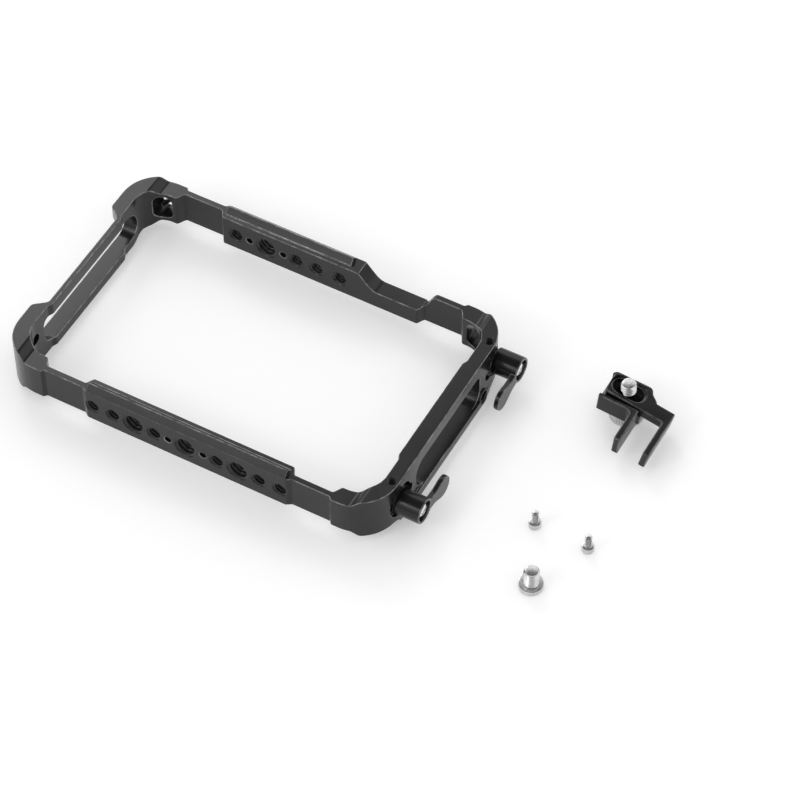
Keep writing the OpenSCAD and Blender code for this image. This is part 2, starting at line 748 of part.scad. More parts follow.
// Ring that keeps the stud from falling out of the slot
module stud_ring(y) {
    on_bar(y) translate([0, 0, stack_gap + seat_depth - right_bar - ring_thickness * 2]) difference() {
        ring(ring_diameter, stud_thread - 2 * ring_bite + 2 * running_gap, ring_thickness);
        translate([0, -stud_thread * ring_mouth_share / 2, -ring_thickness])
            cube([ring_diameter, stud_thread * ring_mouth_share, ring_thickness * 3]);
    }
}

// Outline of the wing, from the hub's axis outward
module wing_plan() {
    pad = wing_length - wing_width / 2;
    neck_at = wing_length * wing_neck_share;
    upper = concat([[0, neck_width / 2]], [[neck_at, neck_width / 2]],
        blend([neck_at, neck_width / 2], [pad, wing_width / 2], blend_steps));
    polygon(concat(upper, [for (i = [len(upper) - 1 : -1 : 0]) [upper[i][0], -upper[i][1]]]));
    translate([pad, 0]) circle(d = wing_width, $fn = circle_faces);
}

// Lever with its hub and wing
module lever(y, angle) {
    hub_from = washer_thickness + 2 * stack_gap;
    bush_seat = collar_length + stack_gap * 2;
    on_bar(y) difference() {
        union() {
            translate([0, 0, hub_from]) cylinder(d = hub_diameter, h = hub_reach - hub_from, $fn = circle_faces);
            translate([0, 0, hub_reach - wing_thickness]) rotate([0, 0, angle]) linear_extrude(height = wing_thickness) wing_plan();
        }
        translate([0, 0, hub_from - stack_gap]) cylinder(d = bush_diameter, h = bush_seat + stack_gap, $fn = circle_faces);
        translate([0, 0, hub_from]) cylinder(d = collar_diameter + 2 * running_gap, h = shoulder_at - hub_from, $fn = circle_faces);
        cylinder(d = retainer_screw + 4 * running_gap, h = hub_reach, $fn = small_faces);
        translate([0, 0, spring_from]) cylinder(d = counterbore, h = hub_reach, $fn = circle_faces);
    }
}

// Toothed bush pressed into the hub
module lever_bush(y) {
    tooth = collar_diameter * tooth_depth_share;
    width = collar_diameter * sin(180 / tooth_count) * tooth_width_share + 2 * running_gap;
    inner = collar_diameter - 2 * tooth + 2 * running_gap;
    on_bar(y) translate([0, 0, collar_from]) difference() {
        ring(bush_diameter, inner, collar_length);
        translate([0, 0, -collar_length]) intersection() {
            teeth(collar_diameter / 2, width, tooth + running_gap, collar_length * 3);
            cylinder(d = collar_diameter + 2 * running_gap, h = collar_length * 3, $fn = circle_faces);
        }
    }
}

// Spring that holds the teeth together, as one tube
module lever_spring(y) {
    steps = round(spring_coils * curl_rings);
    rise = spring_length - spring_wire - 2 * stack_gap;
    rings = [for (i = [0 : steps]) let (a = i * 360 / curl_rings)
        [for (j = [0 : wire_sides - 1]) let (b = j * 360 / wire_sides, r = spring_diameter / 2 + cos(b) * spring_wire / 2)
            [cos(a) * r, sin(a) * r, spring_from + stack_gap + spring_wire / 2 + rise * i / steps + sin(b) * spring_wire / 2]]];
    points = [for (r = rings) each r];
    sides = [for (i = [0 : steps - 1]) for (j = [0 : wire_sides - 1]) let (k = (j + 1) % wire_sides)
        [i * wire_sides + j, (i + 1) * wire_sides + j, (i + 1) * wire_sides + k, i * wire_sides + k]];
    first = [for (j = [0 : wire_sides - 1]) j];
    last = [for (j = [wire_sides - 1 : -1 : 0]) steps * wire_sides + j];
    echo(least_gap_between_coils = rise / spring_coils - spring_wire);
    on_bar(y) polyhedron(points = points, faces = concat([first], sides, [last]));
}

// Screw that keeps the lever on the stud
module lever_screw(y) {
    on_bar(y) difference() {
        union() {
            translate([0, 0, collar_from / 2]) cylinder(d = retainer_screw, h = screw_head_under - collar_from / 2, $fn = small_faces);
            translate([0, 0, screw_head_under]) button_head(retainer_head, retainer_head_height);
        }
        translate([0, 0, screw_head_under + retainer_head_height * (1 - socket_depth_share)])
            cylinder(d = retainer_socket * hex_corner_share, h = retainer_head_height, $fn = 6);
    }
}

// Domed head standing on the zero plane
module button_head(d, height) {
    ball = (d * d / 4 + height * height) / (2 * height);
    intersection() {
        translate([0, 0, height - ball]) sphere(r = ball, $fn = circle_faces);
        cylinder(d = d * head_rim_share, h = height, $fn = circle_faces);
    }
}

module far_washer() color([0.2, 0.2, 0.21]) lever_washer(far_lever_at);
module far_stud() color([0.7, 0.71, 0.72]) lever_stud(far_lever_at);
module far_stud_ring() color([0.35, 0.35, 0.36]) stud_ring(far_lever_at);
module far_lever() color([0.1, 0.1, 0.11]) lever(far_lever_at, far_lever_turn);
module far_lever_bush() color([0.7, 0.6, 0.35]) lever_bush(far_lever_at);
module far_lever_spring() color([0.75, 0.76, 0.78]) lever_spring(far_lever_at);
module far_lever_screw() color([0.82, 0.82, 0.83]) lever_screw(far_lever_at);
module near_washer() color([0.2, 0.2, 0.21]) lever_washer(-near_lever_at);
module near_stud() color([0.7, 0.71, 0.72]) lever_stud(-near_lever_at);
module near_stud_ring() color([0.35, 0.35, 0.36]) stud_ring(-near_lever_at);
module near_lever() color([0.1, 0.1, 0.11]) lever(-near_lever_at, near_lever_turn);
module near_lever_bush() color([0.7, 0.6, 0.35]) lever_bush(-near_lever_at);
module near_lever_spring() color([0.75, 0.76, 0.78]) lever_spring(-near_lever_at);
module near_lever_screw() color([0.82, 0.82, 0.83]) lever_screw(-near_lever_at);

// Moves a clamp piece from its own axis to its place
module at_clamp(height, tilt) {
    translate([clamp_x, clamp_y, height]) rotate([0, tilt, 0]) children();
}

// Outline of the clamp's plate, seen from above
module clamp_plan() {
    r = (clamp_back - clamp_bridge_back) * clamp_round_share;
    step = blend_across([clamp_bridge_at - r, clamp_back], [clamp_bridge_at + r, clamp_bridge_back], blend_steps);
    corner = quarter([r - clamp_left, clamp_back - r], r, quarter_turn);
    front = quarter([r - clamp_left, r - clamp_front], r, 2 * quarter_turn);
    polygon(concat(corner, front, [[clamp_right, -clamp_front], [clamp_right, clamp_bridge_back]],
        [for (i = [len(step) - 1 : -1 : 0]) step[i]]));
}

// Plate of the clamp with its fixed arm
module clamp_body() color([0.08, 0.08, 0.09]) at_clamp(clamp_top, clamp_tilt) difference() {
    union() {
        translate([0, 0, -clamp_plate]) linear_extrude(height = clamp_plate) clamp_plan();
        block([clamp_right - clamp_arm_thickness, -clamp_arm, -clamp_arm_height], [clamp_right, clamp_bridge_back, 0]);
    }
    clamp_slot_shape(0, -2 * clamp_plate, clamp_plate);
    clamp_slot_shape(clamp_pocket_rim, -clamp_pocket_depth, clamp_plate);
}

// The slot between two heights, widened by a rim
module clamp_slot_shape(rim, from, to) {
    r = clamp_slot / 2 + rim;
    low = clamp_slot / 2 - clamp_slot_left;
    high = clamp_slot_right - clamp_slot / 2;
    block([low, -r, from], [high, r, to]);
    for (x = [low, high]) {
        translate([x, 0, from]) cylinder(r = r, h = to - from, $fn = circle_faces);
    }
}

// Outline of the jaw's block and back wall, with rounded back corners
module jaw_plan() {
    back = clamp_back + clamp_gap + jaw_wall;
    right = quarter([jaw_right - jaw_round, back - jaw_round], jaw_round, 0);
    left = quarter([jaw_round - jaw_left, back - jaw_round], jaw_round, quarter_turn);
    front = -clamp_front - clamp_gap;
    polygon(concat(right, left, [[-jaw_left, front], [jaw_right, front]]));
}

// Sliding jaw that the plate lies in, with its arm
module clamp_jaw() color([0.09, 0.09, 0.1]) at_clamp(jaw_under, jaw_tilt) difference() {
    front = -clamp_front - clamp_gap;
    back = clamp_back + clamp_gap;
    arm_left = jaw_arm_at - clamp_arm_thickness;
    union() {
        difference() {
            linear_extrude(height = jaw_height) jaw_plan();
            block([-2 * jaw_left, 2 * front, jaw_block], [2 * jaw_right, back, 2 * jaw_height]);
        }
        block([-jaw_left, front - jaw_wall, 0], [jaw_arm_at, front, jaw_height]);
        block([arm_left, -clamp_arm, 0], [jaw_arm_at, front, jaw_height]);
        difference() {
            block([arm_left - jaw_fillet, front - jaw_wall - jaw_fillet, 0], [jaw_arm_at, front, jaw_height]);
            translate([arm_left - jaw_fillet, front - jaw_wall - jaw_fillet, -jaw_height])
                cylinder(r = jaw_fillet, h = jaw_height * 3, $fn = circle_faces);
        }
    }
    translate([0, 0, -jaw_block]) cylinder(d = jaw_hole, h = jaw_block * 3, $fn = circle_faces);
}

// Screw of the clamp, pointing up
module clamp_screw_shank() color([0.8, 0.8, 0.81]) at_clamp(knob_height * (1 - screw_seat_share), 0)
    cylinder(d = clamp_screw, h = clamp_top + clamp_screw_reach - knob_height * (1 - screw_seat_share), $fn = circle_faces);

// Knurled head of the clamp screw
module clamp_knob() color([0.78, 0.78, 0.79]) at_clamp(0, 0) difference() {
    groove = knob_diameter * groove_depth_share;
    cylinder(d = knob_diameter, h = knob_height, $fn = circle_faces);
    translate([0, 0, knob_height * (1 - screw_seat_share)]) cylinder(d = clamp_screw, h = knob_height, $fn = circle_faces);
    for (i = [0 : knob_grooves - 1]) {
        rotate([0, 0, i * 360 / knob_grooves]) translate([knob_diameter / 2, 0, -knob_height])
            rotate([0, 0, 45]) translate([-groove / 2, -groove / 2, 0]) cube([groove, groove, knob_height * 3]);
    }
}

// A screw standing on its head
module spare_screw(place, thread, head, head_height, length) {
    edge = head_height * head_edge_share;
    translate([place[0], place[1], 0]) difference() {
        union() {
            cylinder(d1 = head - 2 * edge, d2 = head, h = edge, $fn = circle_faces);
            translate([0, 0, edge]) cylinder(d = head, h = head_height - 2 * edge, $fn = circle_faces);
            translate([0, 0, head_height - edge]) cylinder(d1 = head, d2 = head - 2 * edge, h = edge, $fn = circle_faces);
            translate([0, 0, head_height - edge]) cylinder(d = thread, h = length + edge, $fn = small_faces);
        }
        translate([0, 0, -head_height]) cylinder(d = thread * hex_corner_share * spare_socket_share, h = head_height * 1.5, $fn = 6);
    }
}

module spare_cap_screws() color([0.8, 0.8, 0.81]) {
    for (p = cap_places) {
        spare_screw(p, cap_thread, cap_head, cap_head_height, cap_length);
    }
}
module spare_large_screw() color([0.8, 0.8, 0.81])
    spare_screw(large_spare_place, small_thread, large_spare_head, large_spare_head_height, large_spare_length);

cage_frame();
far_washer();
far_stud();
far_stud_ring();
far_lever();
far_lever_bush();
far_lever_spring();
far_lever_screw();
near_washer();
near_stud();
near_stud_ring();
near_lever();
near_lever_bush();
near_lever_spring();
near_lever_screw();
clamp_body();
clamp_jaw();
clamp_screw_shank();
clamp_knob();
spare_cap_screws();
spare_large_screw();
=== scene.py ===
"""Dresses the monitor cage: milled frame, cut threads, ratchet levers, cable clamp and spare screws.

Lengths in the classes are in millimetres, unless a class says otherwise, and MM turns them into metres.
"""

import logging
import math
from dataclasses import dataclass
from enum import Enum

import bmesh
import bpy
from mathutils import Matrix, Vector


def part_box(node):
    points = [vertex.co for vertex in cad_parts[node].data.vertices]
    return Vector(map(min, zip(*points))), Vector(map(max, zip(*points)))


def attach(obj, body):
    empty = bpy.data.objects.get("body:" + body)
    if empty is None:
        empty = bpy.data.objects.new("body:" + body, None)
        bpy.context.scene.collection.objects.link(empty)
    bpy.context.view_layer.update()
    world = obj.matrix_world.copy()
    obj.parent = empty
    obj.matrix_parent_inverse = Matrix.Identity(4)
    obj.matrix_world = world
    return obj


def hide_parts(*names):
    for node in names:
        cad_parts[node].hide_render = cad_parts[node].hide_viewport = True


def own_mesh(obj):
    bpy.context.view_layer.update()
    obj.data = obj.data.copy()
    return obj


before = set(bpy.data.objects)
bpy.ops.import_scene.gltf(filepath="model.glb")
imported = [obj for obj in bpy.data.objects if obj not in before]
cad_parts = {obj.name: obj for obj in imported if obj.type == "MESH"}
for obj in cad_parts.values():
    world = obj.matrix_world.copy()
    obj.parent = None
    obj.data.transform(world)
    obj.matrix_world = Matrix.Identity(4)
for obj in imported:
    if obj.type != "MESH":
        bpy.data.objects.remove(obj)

log = logging.getLogger("cage")

MM = 0.001
FULL_TURN = 2 * math.pi
WHITE = (1.0, 1.0, 1.0, 1.0)
PATTERN_MIDDLE = 0.5
TOOL_LINES = 60.0

# Angles in degrees
FLAT_ANGLE = 0.6
ROD_SHADING = 30.0

# Distances in metres below which two points count as one
SKIN_WELD = 0.000002
SPIN_WELD = 0.000005
CUT_WELD = 0.0000001

Pair = tuple[float, float]
Point = tuple[float, float, float]


class Facing(Enum):
    """The way a round piece or hole points, as the turn that takes +Z there."""

    UP = (0.0, 0.0)
    RIGHT = (0.0, math.pi / 2)
    NEAR = (math.pi / 2, 0.0)
    FAR = (-math.pi / 2, 0.0)

    def matrix(self, place: Point) -> Matrix:
        """Gives the placement of a piece built along +Z.

        Args:
            place: Where the piece's own origin goes, in millimetres.

        Returns:
            A matrix in metres.
        """
        about_x, about_y = self.value
        turn = Matrix.Rotation(about_x, 4, "X") @ Matrix.Rotation(about_y, 4, "Y")
        return Matrix.Translation(Vector(place) * MM) @ turn


class Slot(Enum):
    """The record's material slots."""

    ANODISED = "anodised_black"
    LEVER = "lever_black"
    DARK_STEEL = "dark_steel"
    BRIGHT_STEEL = "bright_steel"
    SPRING = "spring_steel"
    BRASS = "brass_bush"


# Shader maths


class Signal:
    """One socket of a shader tree, which takes part in arithmetic."""

    def __init__(self, board: "Board", socket: bpy.types.NodeSocket) -> None:
        """Keeps the socket and the board that it belongs to."""
        self.board = board
        self.socket = socket

    def _math(self, operation: str, other: "Signal | float", flipped: bool = False) -> "Signal":
        """Adds one Math node, in which this signal is the second term if flipped is True."""
        terms = (other, self) if flipped else (self, other)
        return self.board.node("ShaderNodeMath", {"operation": operation}, {0: terms[0], 1: terms[1]})

    def __add__(self, other: "Signal | float") -> "Signal":
        """Adds."""
        return self._math("ADD", other)

    __radd__ = __add__

    def __sub__(self, other: "Signal | float") -> "Signal":
        """Takes the other away."""
        return self._math("SUBTRACT", other)

    def __rsub__(self, other: float) -> "Signal":
        """Takes this away from a number."""
        return self._math("SUBTRACT", other, flipped=True)

    def __mul__(self, other: "Signal | float") -> "Signal":
        """Multiplies."""
        return self._math("MULTIPLY", other)


@dataclass(frozen=True)
class Noise:
    """A noise pattern: the size of its features, the number of finer layers and their strength."""

    size: float
    layers: float
    strength: float = 0.5


class Board:
    """The node tree of a material or world, with one method that adds nodes."""

    def __init__(self, owner: bpy.types.ID) -> None:
        """Empties the tree.

        Args:
            owner: The material or world.
        """
        owner.use_nodes = True
        self.owner = owner
        self.tree = owner.node_tree
        self.tree.nodes.clear()

    def node(self, kind: str, settings: dict | None = None, inputs: dict | None = None,
             output: str | int = 0) -> Signal:
        """Adds a node, sets it up and feeds its sockets.

        Args:
            kind: The node's type name.
            settings: Attributes of the node, set first.
            inputs: Values or signals by socket name or number.
            output: The socket that is wanted.

        Returns:
            The wanted output.
        """
        made = self.tree.nodes.new(kind)
        for name, value in (settings or {}).items():
            setattr(made, name, value)
        for name, value in (inputs or {}).items():
            if isinstance(value, Signal):
                self.tree.links.new(value.socket, made.inputs[name])
            else:
                made.inputs[name].default_value = value
        return Signal(self, made.outputs[output])

    def noise(self, noise: Noise, stretch: Point = (1.0, 1.0, 1.0)) -> Signal:
        """Adds a noise pattern in the piece's own coordinates.

        Args:
            noise: The pattern.
            stretch: How much finer the pattern is along each axis.

        Returns:
            The pattern from 0 to 1.
        """
        place = self.node("ShaderNodeTexCoord", output="Object")
        mapped = self.node("ShaderNodeMapping", inputs={"Vector": place, "Scale": stretch})
        return self.node("ShaderNodeTexNoise", inputs={
            "Vector": mapped, "Scale": 1 / (noise.size * MM), "Detail": noise.layers,
            "Roughness": noise.strength})

    def spread(self, signal: Signal, span: Pair, low: float = 0.0, high: float = 1.0) -> Signal:
        """Turns a span of a signal into a smooth step.

        Args:
            signal: The signal.
            span: The two values between which the step lies.
            low: The level below the span.
            high: The level above the span.

        Returns:
            The step.
        """
        return self.node("ShaderNodeMapRange", {"interpolation_type": "SMOOTHSTEP"}, {
            "Value": signal, "From Min": span[0], "From Max": span[1], "To Min": low, "To Max": high})

    def blend(self, share: Signal, first: Point, second: Point) -> Signal:
        """Mixes two colours.

        Args:
            share: How much of the second colour shows.
            first: The colour at 0.
            second: The colour at 1.

        Returns:
            The mixed colour.
        """
        return self.node("ShaderNodeMix", {"data_type": "RGBA"},
                         {0: share, 6: (*first, 1.0), 7: (*second, 1.0)}, output=2)

    def bump(self, height: Signal, depth: float, strength: float) -> Signal:
        """Turns a height into a bumped normal.

        Args:
            height: The pattern.
            depth: Its full depth in millimetres.
            strength: Share of the effect.

        Returns:
            The normal.
        """
        return self.node("ShaderNodeBump",
                         inputs={"Height": height, "Distance": depth * MM, "Strength": strength})

    def ray(self, kind: str) -> Signal:
        """Gives 1 for rays of one kind and 0 for the others."""
        return self.node("ShaderNodeLightPath", output=kind)

    def choose(self, kind: str, others: Signal, chosen: Signal) -> Signal:
        """Shows one shader to rays of one kind and another to the rest."""
        return self.node("ShaderNodeMixShader", inputs={0: self.ray(kind), 1: others, 2: chosen})

    def background(self, strength: "Signal | float") -> Signal:
        """Adds a white background."""
        return self.node("ShaderNodeBackground", inputs={"Color": WHITE, "Strength": strength})

    def show(self, surface: Signal, kind: str = "ShaderNodeOutputMaterial") -> None:
        """Links a shader to a new output node."""
        out = self.tree.nodes.new(kind)
        self.tree.links.new(surface.socket, out.inputs["Surface"])

    def finish(self, inputs: dict) -> bpy.types.Material:
        """Ends a material's tree in one surface shader and gives the material."""
        self.show(self.node("ShaderNodeBsdfPrincipled", inputs=inputs))
        return self.owner


# Finishes


@dataclass(frozen=True)
class Anodised:
    """Bead-blasted aluminium under a black anodic film."""

    name: str
    deep: Point
    worn: Point
    roughness: float
    roughness_stray: float = 0.07
    gloss: float = 0.36
    grain: Noise = Noise(0.22, 3.0, 0.6)
    grain_span: Pair = (0.45, 0.8)
    grain_depth: float = 0.012
    grain_strength: float = 0.3
    cloud: Noise = Noise(14.0, 4.0, 0.55)
    cloud_span: Pair = (0.35, 0.72)
    cloud_share: float = 0.55

    def make(self) -> bpy.types.Material:
        """Builds the material: clouded dye, blasted grain, and a roughness that follows both.

        Returns:
            The material.
        """
        board = Board(bpy.data.materials.new(self.name))
        grain = board.noise(self.grain)
        cloud = board.noise(self.cloud)
        handled = board.spread(cloud, self.cloud_span)
        share = handled * self.cloud_share + board.spread(grain, self.grain_span) * (1 - self.cloud_share)
        return board.finish({
            "Base Color": board.blend(share, self.deep, self.worn),
            "Specular IOR Level": self.gloss,
            "Roughness": (self.roughness + (cloud - PATTERN_MIDDLE) * self.roughness_stray
                          + (grain - PATTERN_MIDDLE) * self.roughness_stray),
            "Normal": board.bump(grain, self.grain_depth, self.grain_strength),
        })


@dataclass(frozen=True)
class WornAndLitEdge:
    """The rounded edge of an anodised piece, painted much lighter than its faces: partly a thin, rubbed film
    and partly a painted highlight where the edge catches the lamps.
    """

    name: str
    dark: Point
    bright: Point
    roughness: float
    roughness_stray: float = 0.12
    metallic: float = 0.35
    patch: Noise = Noise(3.5, 4.0, 0.65)
    patch_share: float = 0.75
    fine: Noise = Noise(0.3, 2.0)
    fine_depth: float = 0.006
    fine_strength: float = 0.25
    rubbed_lit_span: Pair = (0.36, 0.66)

    def make(self) -> bpy.types.Material:
        """Builds the material: lighter patches over dark film, standing partly for rubbed wear and partly
        for a painted edge highlight.

        Returns:
            The material.
        """
        board = Board(bpy.data.materials.new(self.name))
        patch = board.noise(self.patch)
        fine = board.noise(self.fine)
        # The lighter share is partly wear and partly a painted highlight along the edge.
        rubbed_and_lit = board.spread(patch * self.patch_share + fine * (1 - self.patch_share), self.rubbed_lit_span)
        return board.finish({
            "Base Color": board.blend(rubbed_and_lit, self.dark, self.bright),
            "Roughness": self.roughness + (1.0 - rubbed_and_lit) * self.roughness_stray,
            "Metallic": self.metallic,
            "Normal": board.bump(fine, self.fine_depth, self.fine_strength),
        })


@dataclass(frozen=True)
class TurnedMetal:
    """Bare metal from a lathe, with fine rings across its axis and a few handling marks."""

    name: str
    colour: Point
    shade: Point
    roughness: float
    stretch: Point
    roughness_stray: float = 0.14
    line: Noise = Noise(0.6, 2.0, 0.4)
    line_share: float = 0.6
    line_depth: float = 0.008
    line_strength: float = 0.35
    cloud: Noise = Noise(5.0, 4.0)
    tone_span: Pair = (0.34, 0.68)
    mark: Noise = Noise(1.1, 5.0, 0.7)
    mark_span: Pair = (0.56, 0.72)
    mark_roughness: float = 0.08

    def make(self) -> bpy.types.Material:
        """Builds the material: tool lines, clouded tone, and marks that scatter more light.

        Returns:
            The material.
        """
        board = Board(bpy.data.materials.new(self.name))
        lines = board.noise(self.line, self.stretch)
        cloud = board.noise(self.cloud)
        marks = board.spread(board.noise(self.mark), self.mark_span)
        tone = board.spread(lines * self.line_share + cloud * (1 - self.line_share), self.tone_span)
        return board.finish({
            "Base Color": board.blend(tone, self.shade, self.colour),
            "Roughness": (self.roughness + (lines - PATTERN_MIDDLE) * self.roughness_stray
                          + marks * self.mark_roughness),
            "Metallic": 1.0,
            "Normal": board.bump(lines, self.line_depth, self.line_strength),
        })


@dataclass(frozen=True)
class StudioFloor:
    """Pale paper that reads as white where no shadow falls on it."""

    name: str = "studio_paper"
    colour: float = 0.88
    fibre: Noise = Noise(1.2, 3.0)
    fibre_tone: float = 0.02
    lift: float = 0.24

    def make(self) -> bpy.types.Material:
        """Builds the material: pale fibres, lifted for the camera's own and reflected rays.

        Returns:
            The material.
        """
        board = Board(bpy.data.materials.new(self.name))
        pale = (self.colour,) * 3
        bright = (self.colour + self.fibre_tone,) * 3
        colour = board.blend(board.noise(self.fibre), pale, bright)
        paper = board.node("ShaderNodeBsdfDiffuse", inputs={"Color": colour})
        seen = board.ray("Is Camera Ray") + board.ray("Is Glossy Ray")
        glow = board.node("ShaderNodeEmission", inputs={"Color": WHITE, "Strength": seen * self.lift})
        board.show(board.node("ShaderNodeAddShader", inputs={0: paper, 1: glow}))
        return board.owner


def grey(level: float, blue: float) -> Point:
    """Gives a grey with a blue part of its own."""
    return (level, level, blue)


class Palette:
    """Every finish of the cage, made once."""

    def __init__(self) -> None:
        """Builds the materials."""
        along_x = (TOOL_LINES, 1.0, 1.0)
        along_z = (1.0, 1.0, TOOL_LINES)
        self.body = Anodised("anodised_body", grey(0.007, 0.0073), grey(0.015, 0.0153), 0.24).make()
        # The edge finishes are far lighter than the faces: a little wear, and mostly a painted highlight
        # along every rounded edge.
        self.body_edge = WornAndLitEdge("anodised_edge", grey(0.07, 0.072), grey(0.32, 0.323), 0.22).make()
        self.thread = Anodised("anodised_thread", grey(0.012, 0.013), grey(0.035, 0.036), 0.24,
                               grain=Noise(0.15, 3.0, 0.6)).make()
        self.lever = Anodised("lever_body", grey(0.006, 0.0063), grey(0.012, 0.0123), 0.22,
                              grain=Noise(0.18, 3.0, 0.6)).make()
        self.lever_edge = WornAndLitEdge("lever_edge", grey(0.045, 0.046), grey(0.2, 0.203), 0.22).make()
        self.clamp = Anodised("clamp_body", grey(0.004, 0.0042), grey(0.008, 0.0083), 0.26,
                              grain=Noise(0.2, 3.0, 0.6)).make()
        self.clamp_edge = WornAndLitEdge("clamp_edge", grey(0.03, 0.031), grey(0.15, 0.152), 0.24).make()
        self.steel_x = TurnedMetal("bright_steel_x", grey(0.88, 0.88), grey(0.7, 0.71), 0.2, along_x).make()
        self.steel_z = TurnedMetal("bright_steel_z", grey(0.74, 0.74), grey(0.46, 0.47), 0.2, along_z).make()
        self.dark_steel = TurnedMetal("dark_steel", grey(0.13, 0.135), grey(0.08, 0.085), 0.34,
                                      along_x).make()
        self.spring = TurnedMetal("spring_wire", grey(0.62, 0.64), grey(0.45, 0.47), 0.26, along_x).make()
        self.brass = TurnedMetal("bush_brass", (0.76, 0.58, 0.28), (0.6, 0.44, 0.2), 0.28, along_x).make()


# Modelling


class Bench:
    """The hand tools that every piece is made with."""

    ROOM_SHARE = 0.42
    SAME_WAY = 0.85
    LEAST_SPREAD = 0.2
    FACE_WEIGHT = 80

    @staticmethod
    def pick(obj: bpy.types.Object) -> None:
        """Selects one object alone and makes it active.

        Args:
            obj: The object.
        """
        if bpy.context.mode != "OBJECT":
            bpy.ops.object.mode_set(mode="OBJECT")
        bpy.ops.object.select_all(action="DESELECT")
        obj.select_set(True)
        bpy.context.view_layer.objects.active = obj

    @staticmethod
    def take(name: str) -> bpy.types.Object:
        """Names the primitive that was just added and moves its place into its mesh.

        Args:
            name: The name of the object and its mesh.

        Returns:
            The object, still selected.
        """
        made = bpy.context.active_object
        made.name = name
        made.data.name = name
        bpy.ops.object.transform_apply(location=True, rotation=True, scale=True)
        return made

    @classmethod
    def edit(cls, obj: bpy.types.Object) -> None:
        """Enters edit mode with every point selected.

        Args:
            obj: The piece.
        """
        cls.pick(obj)
        bpy.ops.object.mode_set(mode="EDIT")
        bpy.ops.mesh.select_mode(type="VERT")
        bpy.ops.mesh.select_all(action="SELECT")

    @staticmethod
    def done() -> None:
        """Leaves edit mode."""
        bpy.ops.object.mode_set(mode="OBJECT")

    @classmethod
    def apply(cls, obj: bpy.types.Object, kind: str, **settings: object) -> None:
        """Adds a modifier and applies it.

        Args:
            obj: The piece.
            kind: The modifier's type.
            settings: Its attributes.
        """
        cls.pick(obj)
        made = obj.modifiers.new(kind.lower(), kind)
        for name, value in settings.items():
            setattr(made, name, value)
        bpy.ops.object.modifier_apply(modifier=made.name)

    @classmethod
    def copy_node(cls, node: str, name: str) -> bpy.types.Object:
        """Copies a solid's mesh as one joined skin with large flat faces.

        Args:
            node: The solid's name.
            name: The new piece's name.

        Returns:
            The piece, free of its parent.
        """
        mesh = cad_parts[node].data.copy()
        made = bpy.data.objects.new(name, mesh)
        bpy.context.scene.collection.objects.link(made)
        mesh.name = name
        mesh.materials.clear()
        cls.edit(made)
        bpy.ops.mesh.customdata_custom_splitnormals_clear()
        bpy.ops.mesh.remove_doubles(threshold=SKIN_WELD)
        bpy.ops.mesh.dissolve_limited(angle_limit=math.radians(FLAT_ANGLE))
        cls.done()
        return made

    @classmethod
    def trace(cls, name: str, points: list[Pair], closed: bool) -> bpy.types.Object:
        """Draws a profile in the XZ plane by extruding one vertex along it.

        Args:
            name: The new piece's name.
            points: Radius and height of each corner, in millimetres.
            closed: True where the last corner joins the first.

        Returns:
            The piece, as a wire.
        """
        bpy.ops.mesh.primitive_plane_add(size=MM)
        made = cls.take(name)
        cls.edit(made)
        bpy.ops.mesh.merge(type="CENTER")
        at = Vector((points[0][0], 0.0, points[0][1])) * MM
        bpy.ops.transform.translate(value=at)
        for radius, height in points[1:]:
            step = Vector((radius, 0.0, height)) * MM - at
            bpy.ops.mesh.extrude_region_move(TRANSFORM_OT_translate={"value": step})
            at += step
        if closed:
            bpy.ops.mesh.select_all(action="DESELECT")
            cls.done()
            for radius, height in (points[0], points[-1]):
                end = Vector((radius, 0.0, height)) * MM
                min(made.data.vertices, key=lambda vert: (vert.co - end).length).select = True
            bpy.ops.object.mode_set(mode="EDIT")
            bpy.ops.mesh.edge_face_add()
        cls.done()
        return made

    @classmethod
    def turn(cls, name: str, points: list[Pair], steps: int = 64) -> bpy.types.Object:
        """Spins a profile that starts and ends on the Z axis into a closed skin.

        Args:
            name: The new piece's name.
            points: Radius and height of each corner, in millimetres.
            steps: Number of faces round the axis.

        Returns:
            The piece.
        """
        made = cls.trace(name, points, False)
        cls.edit(made)
        bpy.ops.mesh.spin(steps=steps, angle=FULL_TURN, center=(0, 0, 0), axis=(0, 0, 1))
        bpy.ops.mesh.select_all(action="SELECT")
        bpy.ops.mesh.remove_doubles(threshold=SPIN_WELD)
        bpy.ops.mesh.normals_make_consistent(inside=False)
        cls.done()
        return made

    @classmethod
    def join(cls, first: bpy.types.Object, others: list[bpy.types.Object]) -> bpy.types.Object:
        """Joins pieces.

        Args:
            first: The piece that takes up the others.
            others: The other pieces.

        Returns:
            The first piece.
        """
        cls.pick(first)
        for other in others:
            other.select_set(True)
        bpy.ops.object.join()
        return first

    @staticmethod
    def twin(obj: bpy.types.Object, name: str) -> bpy.types.Object:
        """Copies a piece with a mesh of its own.

        Args:
            obj: The piece.
            name: The copy's name.

        Returns:
            The copy.
        """
        made = bpy.data.objects.new(name, obj.data.copy())
        made.data.name = name
        bpy.context.scene.collection.objects.link(made)
        return made

    @classmethod
    def cut(cls, obj: bpy.types.Object, cutter: bpy.types.Object) -> None:
        """Cuts a piece with another, which is then gone."""
        cls.apply(obj, "BOOLEAN", operation="DIFFERENCE", solver="EXACT", object=cutter, use_self=True)
        bpy.data.objects.remove(cutter, do_unlink=True)

    @classmethod
    def cut_socket(cls, obj: bpy.types.Object, width: float, depth: float, middle: float) -> None:
        """Cuts a hexagonal socket on the Z axis.

        Args:
            obj: The piece.
            width: Width across the socket's flats.
            depth: Height of the hexagon that cuts it.
            middle: Height of the hexagon's middle.
        """
        bpy.ops.mesh.primitive_cylinder_add(vertices=6, radius=width / math.sqrt(3) * MM, depth=depth * MM,
                                            location=(0, 0, middle * MM))
        cls.cut(obj, cls.take("hexagon"))

